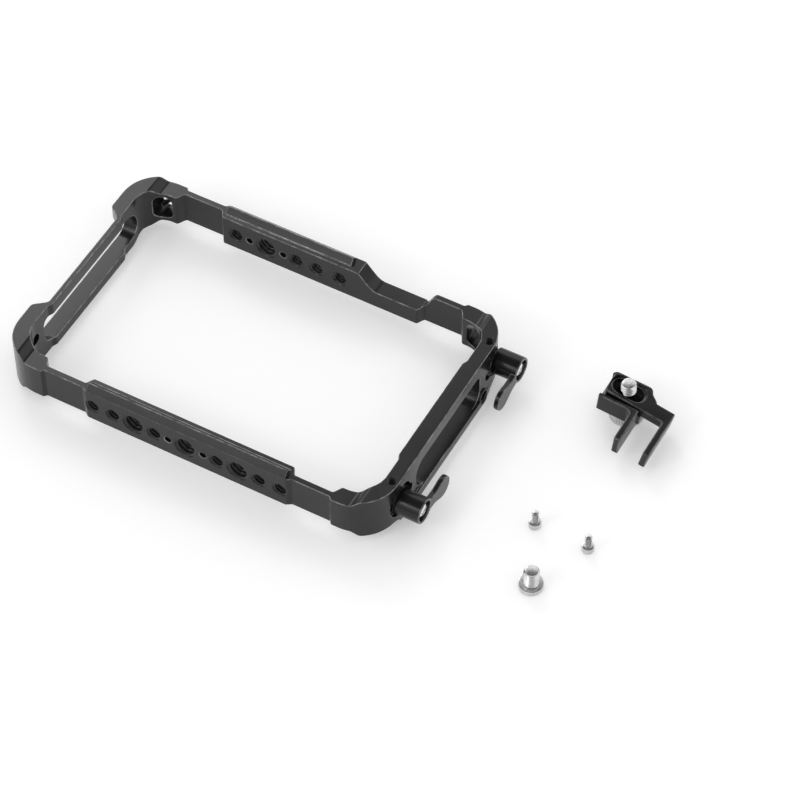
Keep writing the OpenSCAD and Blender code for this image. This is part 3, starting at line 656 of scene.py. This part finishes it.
    @staticmethod
    def place(obj: bpy.types.Object, matrix: Matrix) -> bpy.types.Object:
        """Moves a piece's mesh to its place, so that its object stays at the origin.

        Args:
            obj: The piece.
            matrix: The placement.

        Returns:
            The piece.
        """
        obj.data.transform(matrix)
        obj.data.update()
        return obj

    @classmethod
    def soften(cls, obj: bpy.types.Object, width: float, least: float,
               spare: "list[Bore] | None" = None) -> None:
        """Rounds every sharp edge as far as its own faces leave room.

        Args:
            obj: The piece.
            width: Full width of the rounding, in millimetres.
            least: Smallest angle of an edge that is rounded, in degrees.
            spare: Bores whose edges keep their own shape.
        """
        work = bmesh.new()
        work.from_mesh(obj.data)
        work.normal_update()
        layer = work.edges.layers.float.new("bevel_weight_edge")
        for edge in work.edges:
            if len(edge.link_faces) != 2 or edge.calc_face_angle(0.0) <= math.radians(least):
                continue
            if spare and any(bore.holds(vert.co) for bore in spare for vert in edge.verts):
                continue
            room = min(cls.room_beside(edge), width * MM)
            edge[layer] = max(0.0, room / (width * MM))
        work.to_mesh(obj.data)
        work.free()
        edge_finish = 1 if len(obj.data.materials) > 1 else -1
        cls.apply(obj, "BEVEL", width=width * MM, segments=2, limit_method="WEIGHT", use_clamp_overlap=False,
                  material=edge_finish, miter_outer="MITER_ARC", loop_slide=False)

    @staticmethod
    def keep_within(obj: bpy.types.Object, node: str) -> None:
        """Moves stray points of a piece back into a solid's box.

        Args:
            obj: The piece.
            node: The solid's name.
        """
        low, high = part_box(node)
        for vert in obj.data.vertices:
            vert.co = Vector(max(a, min(b, c)) for a, b, c in zip(low, high, vert.co))

    @classmethod
    def room_beside(cls, edge: bmesh.types.BMEdge) -> float:
        """Measures how wide a rounding an edge can take.

        Args:
            edge: An edge of the working mesh.

        Returns:
            The width in metres.
        """
        a, b = edge.verts[0].co, edge.verts[1].co
        along = (b - a).normalized()
        rooms = []
        for face in edge.link_faces:
            away = max(((v.co - a) - along * (v.co - a).dot(along)).length for v in face.verts)
            rooms.append(cls.ROOM_SHARE * away)
        for vert in edge.verts:
            for other in vert.link_edges:
                if other is edge:
                    continue
                turn = abs((other.verts[1].co - other.verts[0].co).normalized().dot(along))
                if turn < cls.SAME_WAY:
                    rooms.append(cls.ROOM_SHARE * other.calc_length() / max(cls.LEAST_SPREAD, 1 - turn))
        return min(rooms)

    @classmethod
    def shade(cls, obj: bpy.types.Object, angle: float = 35.0) -> None:
        """Shades smoothly below an angle, with large faces kept flat.

        Args:
            obj: The piece.
            angle: The angle in degrees.
        """
        cls.pick(obj)
        bpy.ops.object.shade_smooth_by_angle(angle=math.radians(angle))
        cls.apply(obj, "WEIGHTED_NORMAL", mode="FACE_AREA", weight=cls.FACE_WEIGHT, keep_sharp=True)

    @staticmethod
    def dress(obj: bpy.types.Object, body: str, slot: Slot, nodes: tuple[str, ...] = ()) -> None:
        """Makes a piece ride on its body and stand for its solids.

        Args:
            obj: The piece.
            body: The body that it rides on.
            slot: The record's material slot; not used.
            nodes: Solids that it stands for.
        """
        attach(obj, body)
        if nodes:
            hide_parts(*nodes)
        log.info("%s: %d faces, rides on %s", obj.name, len(obj.data.polygons), body)


@dataclass(frozen=True)
class Shell:
    """A rounded copy of a solid, which stands for the solid.

    The first finish covers its faces. The second one, where there is one, covers its rounded edges.
    """

    node: str
    name: str
    body: str
    slot: Slot
    finishes: tuple[bpy.types.Material, ...]
    edge: float
    sharp: float

    def build(self) -> None:
        """Makes the piece."""
        made = Bench.copy_node(self.node, self.name)
        for finish in self.finishes:
            made.data.materials.append(finish)
        Bench.soften(made, self.edge, self.sharp)
        Bench.shade(made)
        Bench.dress(made, self.body, self.slot, (self.node,))


@dataclass(frozen=True)
class Thread:
    """A cut thread, by its outer and core radius and its pitch.

    overlap is how far its ridge reaches into the metal, and the half shares are parts of the pitch.
    """

    outer: float
    core: float
    pitch: float
    steps: int = 30
    overlap: float = 0.12
    half_root_share: float = 0.46
    half_crest_share: float = 0.07
    tip_step: float = 0.05
    tip_gap: float = 0.02
    tip_chamfer: float = 0.3
    tip_chamfer_share: float = 0.4

    def ridge(self, name: str, low: float, high: float, inside: bool) -> bpy.types.Object:
        """Winds the thread's ridge along +Z as a closed coil with flat ends.

        Args:
            name: The new piece's name.
            low: Height of the lower end.
            high: Height of the upper end.
            inside: True for a nut's thread, whose crests point to the axis.

        Returns:
            The ridge.
        """
        crest, root = self.outer, self.core - self.overlap
        if inside:
            crest, root = self.core, self.outer + self.overlap
        half_root = self.pitch * self.half_root_share
        half_crest = self.pitch * self.half_crest_share
        start = low - self.pitch
        turns = math.ceil((high - low) / self.pitch) + 2
        made = Bench.trace(name, [(root, start - half_root), (root, start + half_root),
                                  (crest, start + half_crest), (crest, start - half_crest)], True)
        Bench.apply(made, "SCREW", axis="Z", angle=FULL_TURN, screw_offset=self.pitch * MM, iterations=turns,
                    steps=self.steps, render_steps=self.steps, use_merge_vertices=False)
        Bench.edit(made)
        bpy.ops.mesh.remove_doubles(threshold=SKIN_WELD)
        Bench.done()
        for height, outward in ((low, -1.0), (high, 1.0)):
            Bench.edit(made)
            bpy.ops.mesh.bisect(plane_co=(0, 0, height * MM), plane_no=(0, 0, outward), use_fill=True,
                                clear_outer=True, threshold=CUT_WELD)
            Bench.done()
        Bench.edit(made)
        bpy.ops.mesh.remove_doubles(threshold=SKIN_WELD)
        bpy.ops.mesh.normals_make_consistent(inside=False)
        Bench.done()
        return made

    def rod(self, name: str, low: float, high: float, chamfer: float, start: float) -> bpy.types.Object:
        """Makes a threaded rod along +Z with a chamfered tip.

        Args:
            name: The new piece's name.
            low: Height of its lower end.
            high: Height of its tip.
            chamfer: Width of the tip's chamfer.
            start: Height at which the thread starts.

        Returns:
            The rod, its ridge joined to it.
        """
        tip = self.core - min(self.tip_chamfer, chamfer * self.tip_chamfer_share)
        core = Bench.turn(name, [(0, low), (self.core, low), (self.core, high - self.tip_step), (tip, high),
                                 (0, high)])
        ridge = self.ridge(name + "_ridge", start, high - self.tip_gap, False)
        slim = self.outer - chamfer
        for vert in ridge.data.vertices:
            most = (slim + max(0.0, high - vert.co.z / MM)) * MM
            radius = math.hypot(vert.co.x, vert.co.y)
            if radius > most:
                vert.co.x *= most / radius
                vert.co.y *= most / radius
        return Bench.join(core, [ridge])


QUARTER = Thread(3.175, 2.6353, 1.27)
LARGE = Thread(4.7625, 3.9529, 1.5875)
SMALL = Thread(2.0, 1.6, 0.7)


@dataclass(frozen=True)
class Bore:
    """A threaded hole of the frame."""

    thread: Thread
    mouth: Point
    facing: Facing
    depth: float
    through: bool
    countersink: float = 0.45
    slack: float = 0.02
    cone: float = 0.9
    liner_sink_share: float = 0.8
    liner_gap: float = 0.1
    rim_margin: float = 0.1
    end_margin: float = 0.2
    steps: int = 48

    def holds(self, point: Vector) -> bool:
        """Says whether a point of the frame lies on this bore.

        Args:
            point: The point, in metres.

        Returns:
            True where it does.
        """
        local = self.facing.matrix(self.mouth).inverted() @ point
        reach = (self.thread.outer + self.countersink + self.rim_margin) * MM
        in_depth = -(self.depth + self.end_margin) * MM < local.z < self.end_margin * MM
        return math.hypot(local.x, local.y) < reach and in_depth

    def cutter(self, name: str) -> bpy.types.Object:
        """Makes the drill that opens the bore to the thread's outer radius, with countersunk mouths.

        Args:
            name: The new piece's name.

        Returns:
            The drill, in its place.
        """
        wide = self.thread.outer + self.slack
        sink = self.countersink
        deep = -self.depth
        bottom = [(0, deep - self.cone), (wide, deep)]
        if self.through:
            bottom = [(0, deep - sink), (wide + 2 * sink, deep - sink), (wide, deep + sink)]
        made = Bench.turn(name, [*bottom, (wide, -sink), (wide + 2 * sink, sink), (0, sink)], self.steps)
        return Bench.place(made, self.facing.matrix(self.mouth))

    def liner(self, name: str) -> bpy.types.Object:
        """Makes the thread's ridge inside the bore.

        Args:
            name: The new piece's name.

        Returns:
            The ridge, in its place.
        """
        sink = self.countersink * self.liner_sink_share
        low = -self.depth + (sink if self.through else self.liner_gap)
        made = self.thread.ridge(name, low, -sink, True)
        return Bench.place(made, self.facing.matrix(self.mouth))


# Sub-assemblies


@dataclass
class CageFrame:
    """The one-piece frame with its threaded holes."""

    palette: Palette
    half_width: float = 56.15
    wall: float = 7.2
    row_height: float = 14.6
    pitch: float = 9.5
    near_small: tuple[float, ...] = (-4.5, -3.5, -1.5, 1.5, 3.5, 4.5)
    near_large: tuple[float, ...] = (-2.5, 0.0, 2.5)
    far_small: tuple[float, ...] = (-1.5, 1.5, 2.5, 3.65)
    far_large: tuple[float, ...] = (0.0,)
    far_middle: float = -24.8
    foot_bore: Point = (86.6, 30.6, 4.2)
    foot_depth: float = 5.0
    top_bores: tuple[Point, ...] = ((82.8, 41.2, 25.2), (82.8, -38.7, 25.2))
    top_depth: float = 6.6
    top_countersink: float = 0.3
    edge: float = 0.32
    sharp: float = 30.0
    thread_shading: float = 25.0
    seam: float = 0.6

    def bores(self) -> list[Bore]:
        """Lists the threaded holes.

        Returns:
            The near rail's holes, the far rail's, the one beside the far lever, and those on top.
        """
        rows = [(-self.half_width, Facing.NEAR, 0.0, self.near_small, self.near_large),
                (self.half_width, Facing.FAR, self.far_middle, self.far_small, self.far_large)]
        made = []
        for face, facing, middle, small, large in rows:
            for thread, steps in ((QUARTER, small), (LARGE, large)):
                for step in steps:
                    mouth = (middle + step * self.pitch, face, self.row_height)
                    made.append(Bore(thread, mouth, facing, self.wall, True))
        made.append(Bore(QUARTER, self.foot_bore, Facing.RIGHT, self.foot_depth, False))
        for mouth in self.top_bores:
            made.append(Bore(SMALL, mouth, Facing.UP, self.top_depth, False, self.top_countersink))
        return made

    def build(self) -> None:
        """Makes the frame's skin and every thread in it."""
        bores = self.bores()
        skin = Bench.copy_node("cage_frame", "frame_skin")
        cutters = [bore.cutter(f"drill_{i}") for i, bore in enumerate(bores)]
        Bench.cut(skin, Bench.join(cutters[0], cutters[1:]))
        Bench.edit(skin)
        bpy.ops.mesh.dissolve_limited(angle_limit=math.radians(FLAT_ANGLE))
        bpy.ops.mesh.select_all(action="SELECT")
        bpy.ops.mesh.bisect(plane_co=(0.0, self.seam * MM, 0.0), plane_no=(0.0, 1.0, 0.0))
        Bench.done()
        skin.data.materials.append(self.palette.body)
        skin.data.materials.append(self.palette.body_edge)
        Bench.soften(skin, self.edge, self.sharp, bores)
        Bench.keep_within(skin, "cage_frame")
        Bench.shade(skin)
        Bench.dress(skin, "frame", Slot.ANODISED, ("cage_frame",))
        liners = [bore.liner(f"thread_{i}") for i, bore in enumerate(bores)]
        threads = Bench.join(liners[0], liners[1:])
        threads.name = "frame_threads"
        threads.data.materials.append(self.palette.thread)
        Bench.shade(threads, self.thread_shading)
        Bench.dress(threads, "frame", Slot.ANODISED)


@dataclass
class RatchetLever:
    """One lever with its hub, stud, washer, bush, spring and screw."""

    palette: Palette
    side: str
    across: float
    seat: float = 83.8
    height: float = 12.0
    edge: float = 0.5
    small_edge: float = 0.14
    sharp: float = 32.0
    stud_thread: Thread = Thread(2.5, 2.05, 0.8)
    stud_reach: float = 6.8
    stud_end: float = 0.35
    stud_gap: float = 0.1
    stud_slack: float = 0.05
    ring_groove: Pair = (-5.6, -4.8)
    spring_span: Pair = (4.4, 10.5)
    spring_radius: float = 2.6
    spring_gap: float = 0.05
    spring_shading: float = 40.0
    wire: float = 0.25
    wire_steps: int = 12
    coils: int = 3
    coil_steps: int = 36
    pull: float = 1.8
    head: Pair = (3.8, 1.6)
    head_under: float = 10.5
    head_edge: float = 0.1
    head_sharp: float = 40.0
    seat_share: float = 0.93
    rim_share: float = 0.97
    rim_height: float = 0.12
    dome_share: float = 0.94
    dome_steps: int = 8
    shank: float = 1.5
    shank_foot: float = 0.4
    shank_chamfer: float = 0.2
    socket: float = 2.5
    socket_cutter: Pair = (2.2, 0.3)

    def at(self) -> Matrix:
        """Gives the placement of a piece built along +Z from the lever's seat."""
        return Facing.RIGHT.matrix((self.seat, self.across, self.height))

    def shells(self) -> None:
        """Makes the rounded copies of the lever, bush, washer and ring."""
        p = self.palette
        rows = [("lever", "lever_skin", "lever", Slot.LEVER, (p.lever, p.lever_edge), self.edge),
                ("lever_bush", "bush_skin", "lever", Slot.BRASS, (p.brass,), self.small_edge),
                ("washer", "washer_skin", "slider", Slot.DARK_STEEL, (p.dark_steel,), self.small_edge),
                ("stud_ring", "ring_skin", "stud", Slot.DARK_STEEL, (p.dark_steel,), self.small_edge)]
        for *names, slot, finishes, edge in rows:
            Shell(*[f"{self.side}_{name}" for name in names], slot, finishes, edge, self.sharp).build()

    def stud_piece(self) -> None:
        """Adds the cut thread to the stud and lets it stand for the solid."""
        made = Bench.copy_node(f"{self.side}_stud", f"{self.side}_stud_cut")
        back = self.at()
        here = back.inverted()
        for vert in made.data.vertices:
            local = here @ vert.co
            radius = math.hypot(local.x, local.y)
            on_thread = abs(radius - self.stud_thread.outer * MM) < self.stud_slack * MM
            if local.z < self.stud_gap * MM and on_thread:
                share = self.stud_thread.core * MM / radius
                vert.co = back @ Vector((local.x * share, local.y * share, local.z))
        ridges = []
        for low, high in ((-self.stud_reach + self.stud_end, self.ring_groove[0] - self.stud_gap),
                          (self.ring_groove[1] + self.stud_gap, -self.stud_gap)):
            ridge = self.stud_thread.ridge("stud_ridge", low, high, False)
            ridges.append(Bench.place(ridge, back))
        made.data.materials.append(self.palette.steel_x)
        Bench.soften(made, self.small_edge, self.sharp)
        made = Bench.join(made, ridges)
        Bench.shade(made, ROD_SHADING)
        Bench.dress(made, f"{self.side}_stud", Slot.BRIGHT_STEEL, (f"{self.side}_stud",))

    def spring_piece(self) -> None:
        """Winds the spring as round wire with closed ends."""
        low, high = self.spring_span
        place = (self.spring_radius * MM, 0, 0)
        bpy.ops.mesh.primitive_circle_add(vertices=self.wire_steps, radius=self.wire * MM, location=place,
                                          rotation=(math.pi / 2, 0, 0))
        made = Bench.take(f"{self.side}_spring_wire")
        rise = high - low - 2 * self.wire - 2 * self.spring_gap
        steps = self.coil_steps * self.coils
        Bench.apply(made, "SCREW", axis="Z", angle=FULL_TURN * self.coils, screw_offset=rise * MM,
                    iterations=1, steps=steps, render_steps=steps)
        Bench.edit(made)
        bpy.ops.mesh.select_all(action="DESELECT")
        bpy.ops.mesh.select_non_manifold()
        bpy.ops.mesh.fill_holes(sides=0)
        bpy.ops.mesh.select_all(action="SELECT")
        bpy.ops.mesh.normals_make_consistent(inside=False)
        Bench.done()
        foot = low + self.wire + self.spring_gap
        Bench.place(made, self.at() @ Matrix.Translation((0, 0, foot * MM)))
        made.data.materials.append(self.palette.spring)
        Bench.shade(made, self.spring_shading)
        Bench.dress(made, f"{self.side}_stud", Slot.SPRING, (f"{self.side}_lever_spring",))
        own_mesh(made)

    def screw_piece(self) -> None:
        """Turns the retaining screw with its domed head and hexagonal socket."""
        radius, height = self.head
        under = self.head_under
        top = under + height
        ball = (radius * radius + height * height) / (2 * height)
        dome = []
        for i in range(self.dome_steps + 1):
            at = radius * self.dome_share * (1 - i / self.dome_steps)
            dome.append((at, top - ball + math.sqrt(ball * ball - at * at)))
        foot = self.shank_foot
        made = Bench.turn(f"{self.side}_screw_head", [
            (0, foot), (self.shank - self.shank_chamfer, foot), (self.shank, foot + self.shank_chamfer),
            (self.shank, under), (radius * self.seat_share, under),
            (radius * self.rim_share, under + self.rim_height), *dome])
        depth, above = self.socket_cutter
        Bench.cut_socket(made, self.socket, depth, top + above)
        made.data.materials.append(self.palette.steel_x)
        Bench.soften(made, self.head_edge, self.head_sharp)
        Bench.shade(made)
        Bench.place(made, self.at())
        Bench.dress(made, f"{self.side}_stud", Slot.BRIGHT_STEEL, (f"{self.side}_lever_screw",))

    def build(self) -> None:
        """Makes every piece of the lever."""
        self.shells()
        self.stud_piece()
        self.spring_piece()
        self.screw_piece()


@dataclass
class CableClamp:
    """The loose clamp: plate, jaw and knurled screw."""

    palette: Palette
    place: Pair = (138.9, 53.2)
    edge: float = 0.55
    sharp: float = 35.0
    knob_edge: float = 0.16
    knob_height: float = 4.7
    knob_gap: float = 0.2
    screw: Thread = Thread(3.175, 2.6, 1.27)
    screw_from: float = 0.94
    screw_chamfer: float = 0.8

    def screw_piece(self) -> None:
        """Makes the clamp's threaded screw."""
        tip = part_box("clamp_screw_shank")[1].z / MM
        start = self.knob_height + self.knob_gap
        made = self.screw.rod("clamp_screw_thread", self.screw_from, tip, self.screw_chamfer, start)
        made.data.materials.append(self.palette.steel_z)
        Bench.shade(made, ROD_SHADING)
        Bench.place(made, Facing.UP.matrix((*self.place, 0)))
        Bench.dress(made, "clamp_screw", Slot.BRIGHT_STEEL, ("clamp_screw_shank",))

    def build(self) -> None:
        """Makes every piece of the clamp."""
        black = (self.palette.clamp, self.palette.clamp_edge)
        steel = (self.palette.steel_z,)
        rows = [("clamp_body", "clamp_plate_skin", "clamp_body", Slot.ANODISED, black, self.edge),
                ("clamp_jaw", "clamp_jaw_skin", "clamp_jaw", Slot.ANODISED, black, self.edge),
                ("clamp_knob", "clamp_knob_skin", "clamp_screw", Slot.BRIGHT_STEEL, steel, self.knob_edge)]
        for row in rows:
            Shell(*row, self.sharp).build()
        self.screw_piece()


@dataclass(frozen=True)
class LooseScrew:
    """A screw that stands on its head.

    head is the radius and height of its head, and socket is the width of its hexagonal socket.
    """

    thread: Thread
    head: Pair
    length: float
    socket: float
    rim_share: float = 0.14
    rim_curve: float = 0.3
    neck_foot: float = 0.3
    neck_rise: float = 0.15
    neck_width: float = 0.05
    neck_height: float = 0.3
    core_height: float = 0.6
    socket_share: float = 1.1
    rod_rise: float = 0.1
    chamfer_share: float = 0.22

    def build(self, name: str, finish: bpy.types.Material) -> bpy.types.Object:
        """Makes the screw at the origin.

        Args:
            name: The new piece's name.
            finish: Its material.

        Returns:
            The screw.
        """
        radius, height = self.head
        rim = height * self.rim_share
        curve = rim * self.rim_curve
        core = self.thread.core
        neck = core + self.neck_width
        start = height + self.neck_height
        end = height + self.core_height
        made = Bench.turn(name, [
            (0, 0), (radius - rim, 0), (radius - curve, curve), (radius, rim), (radius, height - rim),
            (radius - curve, height - curve), (radius - rim, height), (core + self.neck_foot, height),
            (neck, height + self.neck_rise), (neck, start), (core, start), (core, end), (0, end)])
        Bench.cut_socket(made, self.socket, height * self.socket_share, 0.0)
        rod = self.thread.rod(name + "_rod", height + self.rod_rise, height + self.length,
                              self.thread.outer * self.chamfer_share, start)
        made = Bench.join(made, [rod])
        made.data.materials.append(finish)
        Bench.shade(made, ROD_SHADING)
        return made


@dataclass
class SpareScrews:
    """The loose screws beside the cage."""

    palette: Palette
    small: LooseScrew = LooseScrew(Thread(1.5, 1.2, 0.5, 24), (2.6, 2.8), 5.6, 2.1)
    small_places: tuple[Pair, ...] = ((132.4, -13.9), (155.7, -14.3))
    large: LooseScrew = LooseScrew(Thread(3.175, 2.6, 1.27), (5.0, 2.4), 7.7, 4.0)
    large_place: Pair = (144.4, -40.3)

    def build(self) -> None:
        """Makes the two small screws and the large one."""
        first = self.small.build("small_screws", self.palette.steel_z)
        second = Bench.twin(first, "small_screw_twin")
        for obj, place in zip((first, second), self.small_places):
            Bench.place(obj, Facing.UP.matrix((*place, 0)))
        Bench.join(first, [second])
        Bench.dress(first, "spare_cap_screws", Slot.BRIGHT_STEEL, ("spare_cap_screws",))
        large = self.large.build("large_screw", self.palette.steel_z)
        Bench.place(large, Facing.UP.matrix((*self.large_place, 0)))
        Bench.dress(large, "spare_large_screw", Slot.BRIGHT_STEEL, ("spare_large_screw",))


# Stage


@dataclass(frozen=True)
class Lamp:
    """A soft round lamp, placed and sized in metres."""

    name: str
    place: Point
    size: float
    power: float

    def build(self, target: Point) -> None:
        """Hangs the lamp.

        Args:
            target: The point that it faces, in metres.
        """
        data = bpy.data.lights.new(self.name, "AREA")
        data.shape = "DISK"
        data.size = self.size
        data.energy = self.power
        made = bpy.data.objects.new(self.name, data)
        made.location = self.place
        made.rotation_euler = (Vector(target) - Vector(self.place)).to_track_quat("-Z", "Y").to_euler()
        bpy.context.scene.collection.objects.link(made)


@dataclass
class Studio:
    """Camera, floor, lamps and sky.

    The clip distances, the floor's size and the lamps' target are in metres. ring_from and ceiling_from are
    heights of the sky, from 0 at the horizon to 1 straight up.
    """

    eye: Point = (457.172, -711.079, 1028.624)
    tilt: float = 38.9
    turn: float = 28.884
    lens: float = 148.39
    sensor: float = 36.0
    clip: Pair = (0.01, 50.0)
    floor_size: float = 12.0
    floor_cells: int = 4
    floor_drop: float = 0.2
    sky: float = 0.8
    wall_reflected: float = 0.55
    ring_reflected: float = 1.3
    ceiling_reflected: float = 0.12
    ring_from: Pair = (0.1, 0.5)
    ceiling_from: Pair = (0.755, 0.83)
    target: Point = (0.02, 0.0, 0.0)
    lamps: tuple[Lamp, ...] = (
        Lamp("key_lamp", (-1.05, 1.05, 1.42), 0.7, 3.6),
        Lamp("front_lamp", (-0.7, -1.4, 1.33), 0.5, 3.0),
    )

    def camera(self) -> None:
        """Sets up the camera at the photograph's viewing angle."""
        data = bpy.data.cameras.new("camera")
        data.lens = self.lens
        data.sensor_width = self.sensor
        data.clip_start, data.clip_end = self.clip
        made = bpy.data.objects.new("camera", data)
        made.location = Vector(self.eye) * MM
        made.rotation_euler = (math.radians(self.tilt), 0.0, math.radians(self.turn))
        bpy.context.scene.collection.objects.link(made)
        bpy.context.scene.camera = made

    def floor(self) -> None:
        """Lays the pale paper that everything stands on."""
        bpy.ops.object.select_all(action="DESELECT")
        bpy.ops.mesh.primitive_grid_add(x_subdivisions=self.floor_cells, y_subdivisions=self.floor_cells,
                                        size=self.floor_size, location=(0, 0, -self.floor_drop * MM))
        made = Bench.take("studio_floor")
        made.data.materials.append(StudioFloor().make())

    def world(self) -> None:
        """Fills the room: white to the camera, and a bright ring under a dark ceiling in reflections."""
        board = Board(bpy.data.worlds.new("room"))
        place = board.node("ShaderNodeTexCoord", output="Generated")
        height = board.node("ShaderNodeSeparateXYZ", inputs={0: place}, output="Z")
        ring = board.spread(height, self.ring_from, self.wall_reflected, self.ring_reflected)
        ceiling = board.spread(height, self.ceiling_from, 1.0, self.ceiling_reflected)
        room = board.background(self.sky)
        mirrored = board.background(ring * ceiling)
        unseen = board.choose("Is Glossy Ray", room, mirrored)
        whole = board.choose("Is Camera Ray", unseen, board.background(1.0))
        board.show(whole, "ShaderNodeOutputWorld")
        bpy.context.scene.world = board.owner

    def build(self) -> None:
        """Sets the whole stage."""
        bpy.context.scene.view_settings.view_transform = "Standard"
        self.camera()
        self.floor()
        self.world()
        for lamp in self.lamps:
            lamp.build(self.target)


def main() -> None:
    """Builds the cage and its stage."""
    logging.basicConfig(level=logging.INFO, format="%(name)s %(message)s")
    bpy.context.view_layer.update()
    bpy.ops.object.select_all(action="DESELECT")
    palette = Palette()
    Studio().build()
    CageFrame(palette).build()
    for side, across in (("far", 43.9), ("near", -36.5)):
        RatchetLever(palette, side, across).build()
    CableClamp(palette).build()
    SpareScrews(palette).build()


if __name__ == "__main__":
    main()
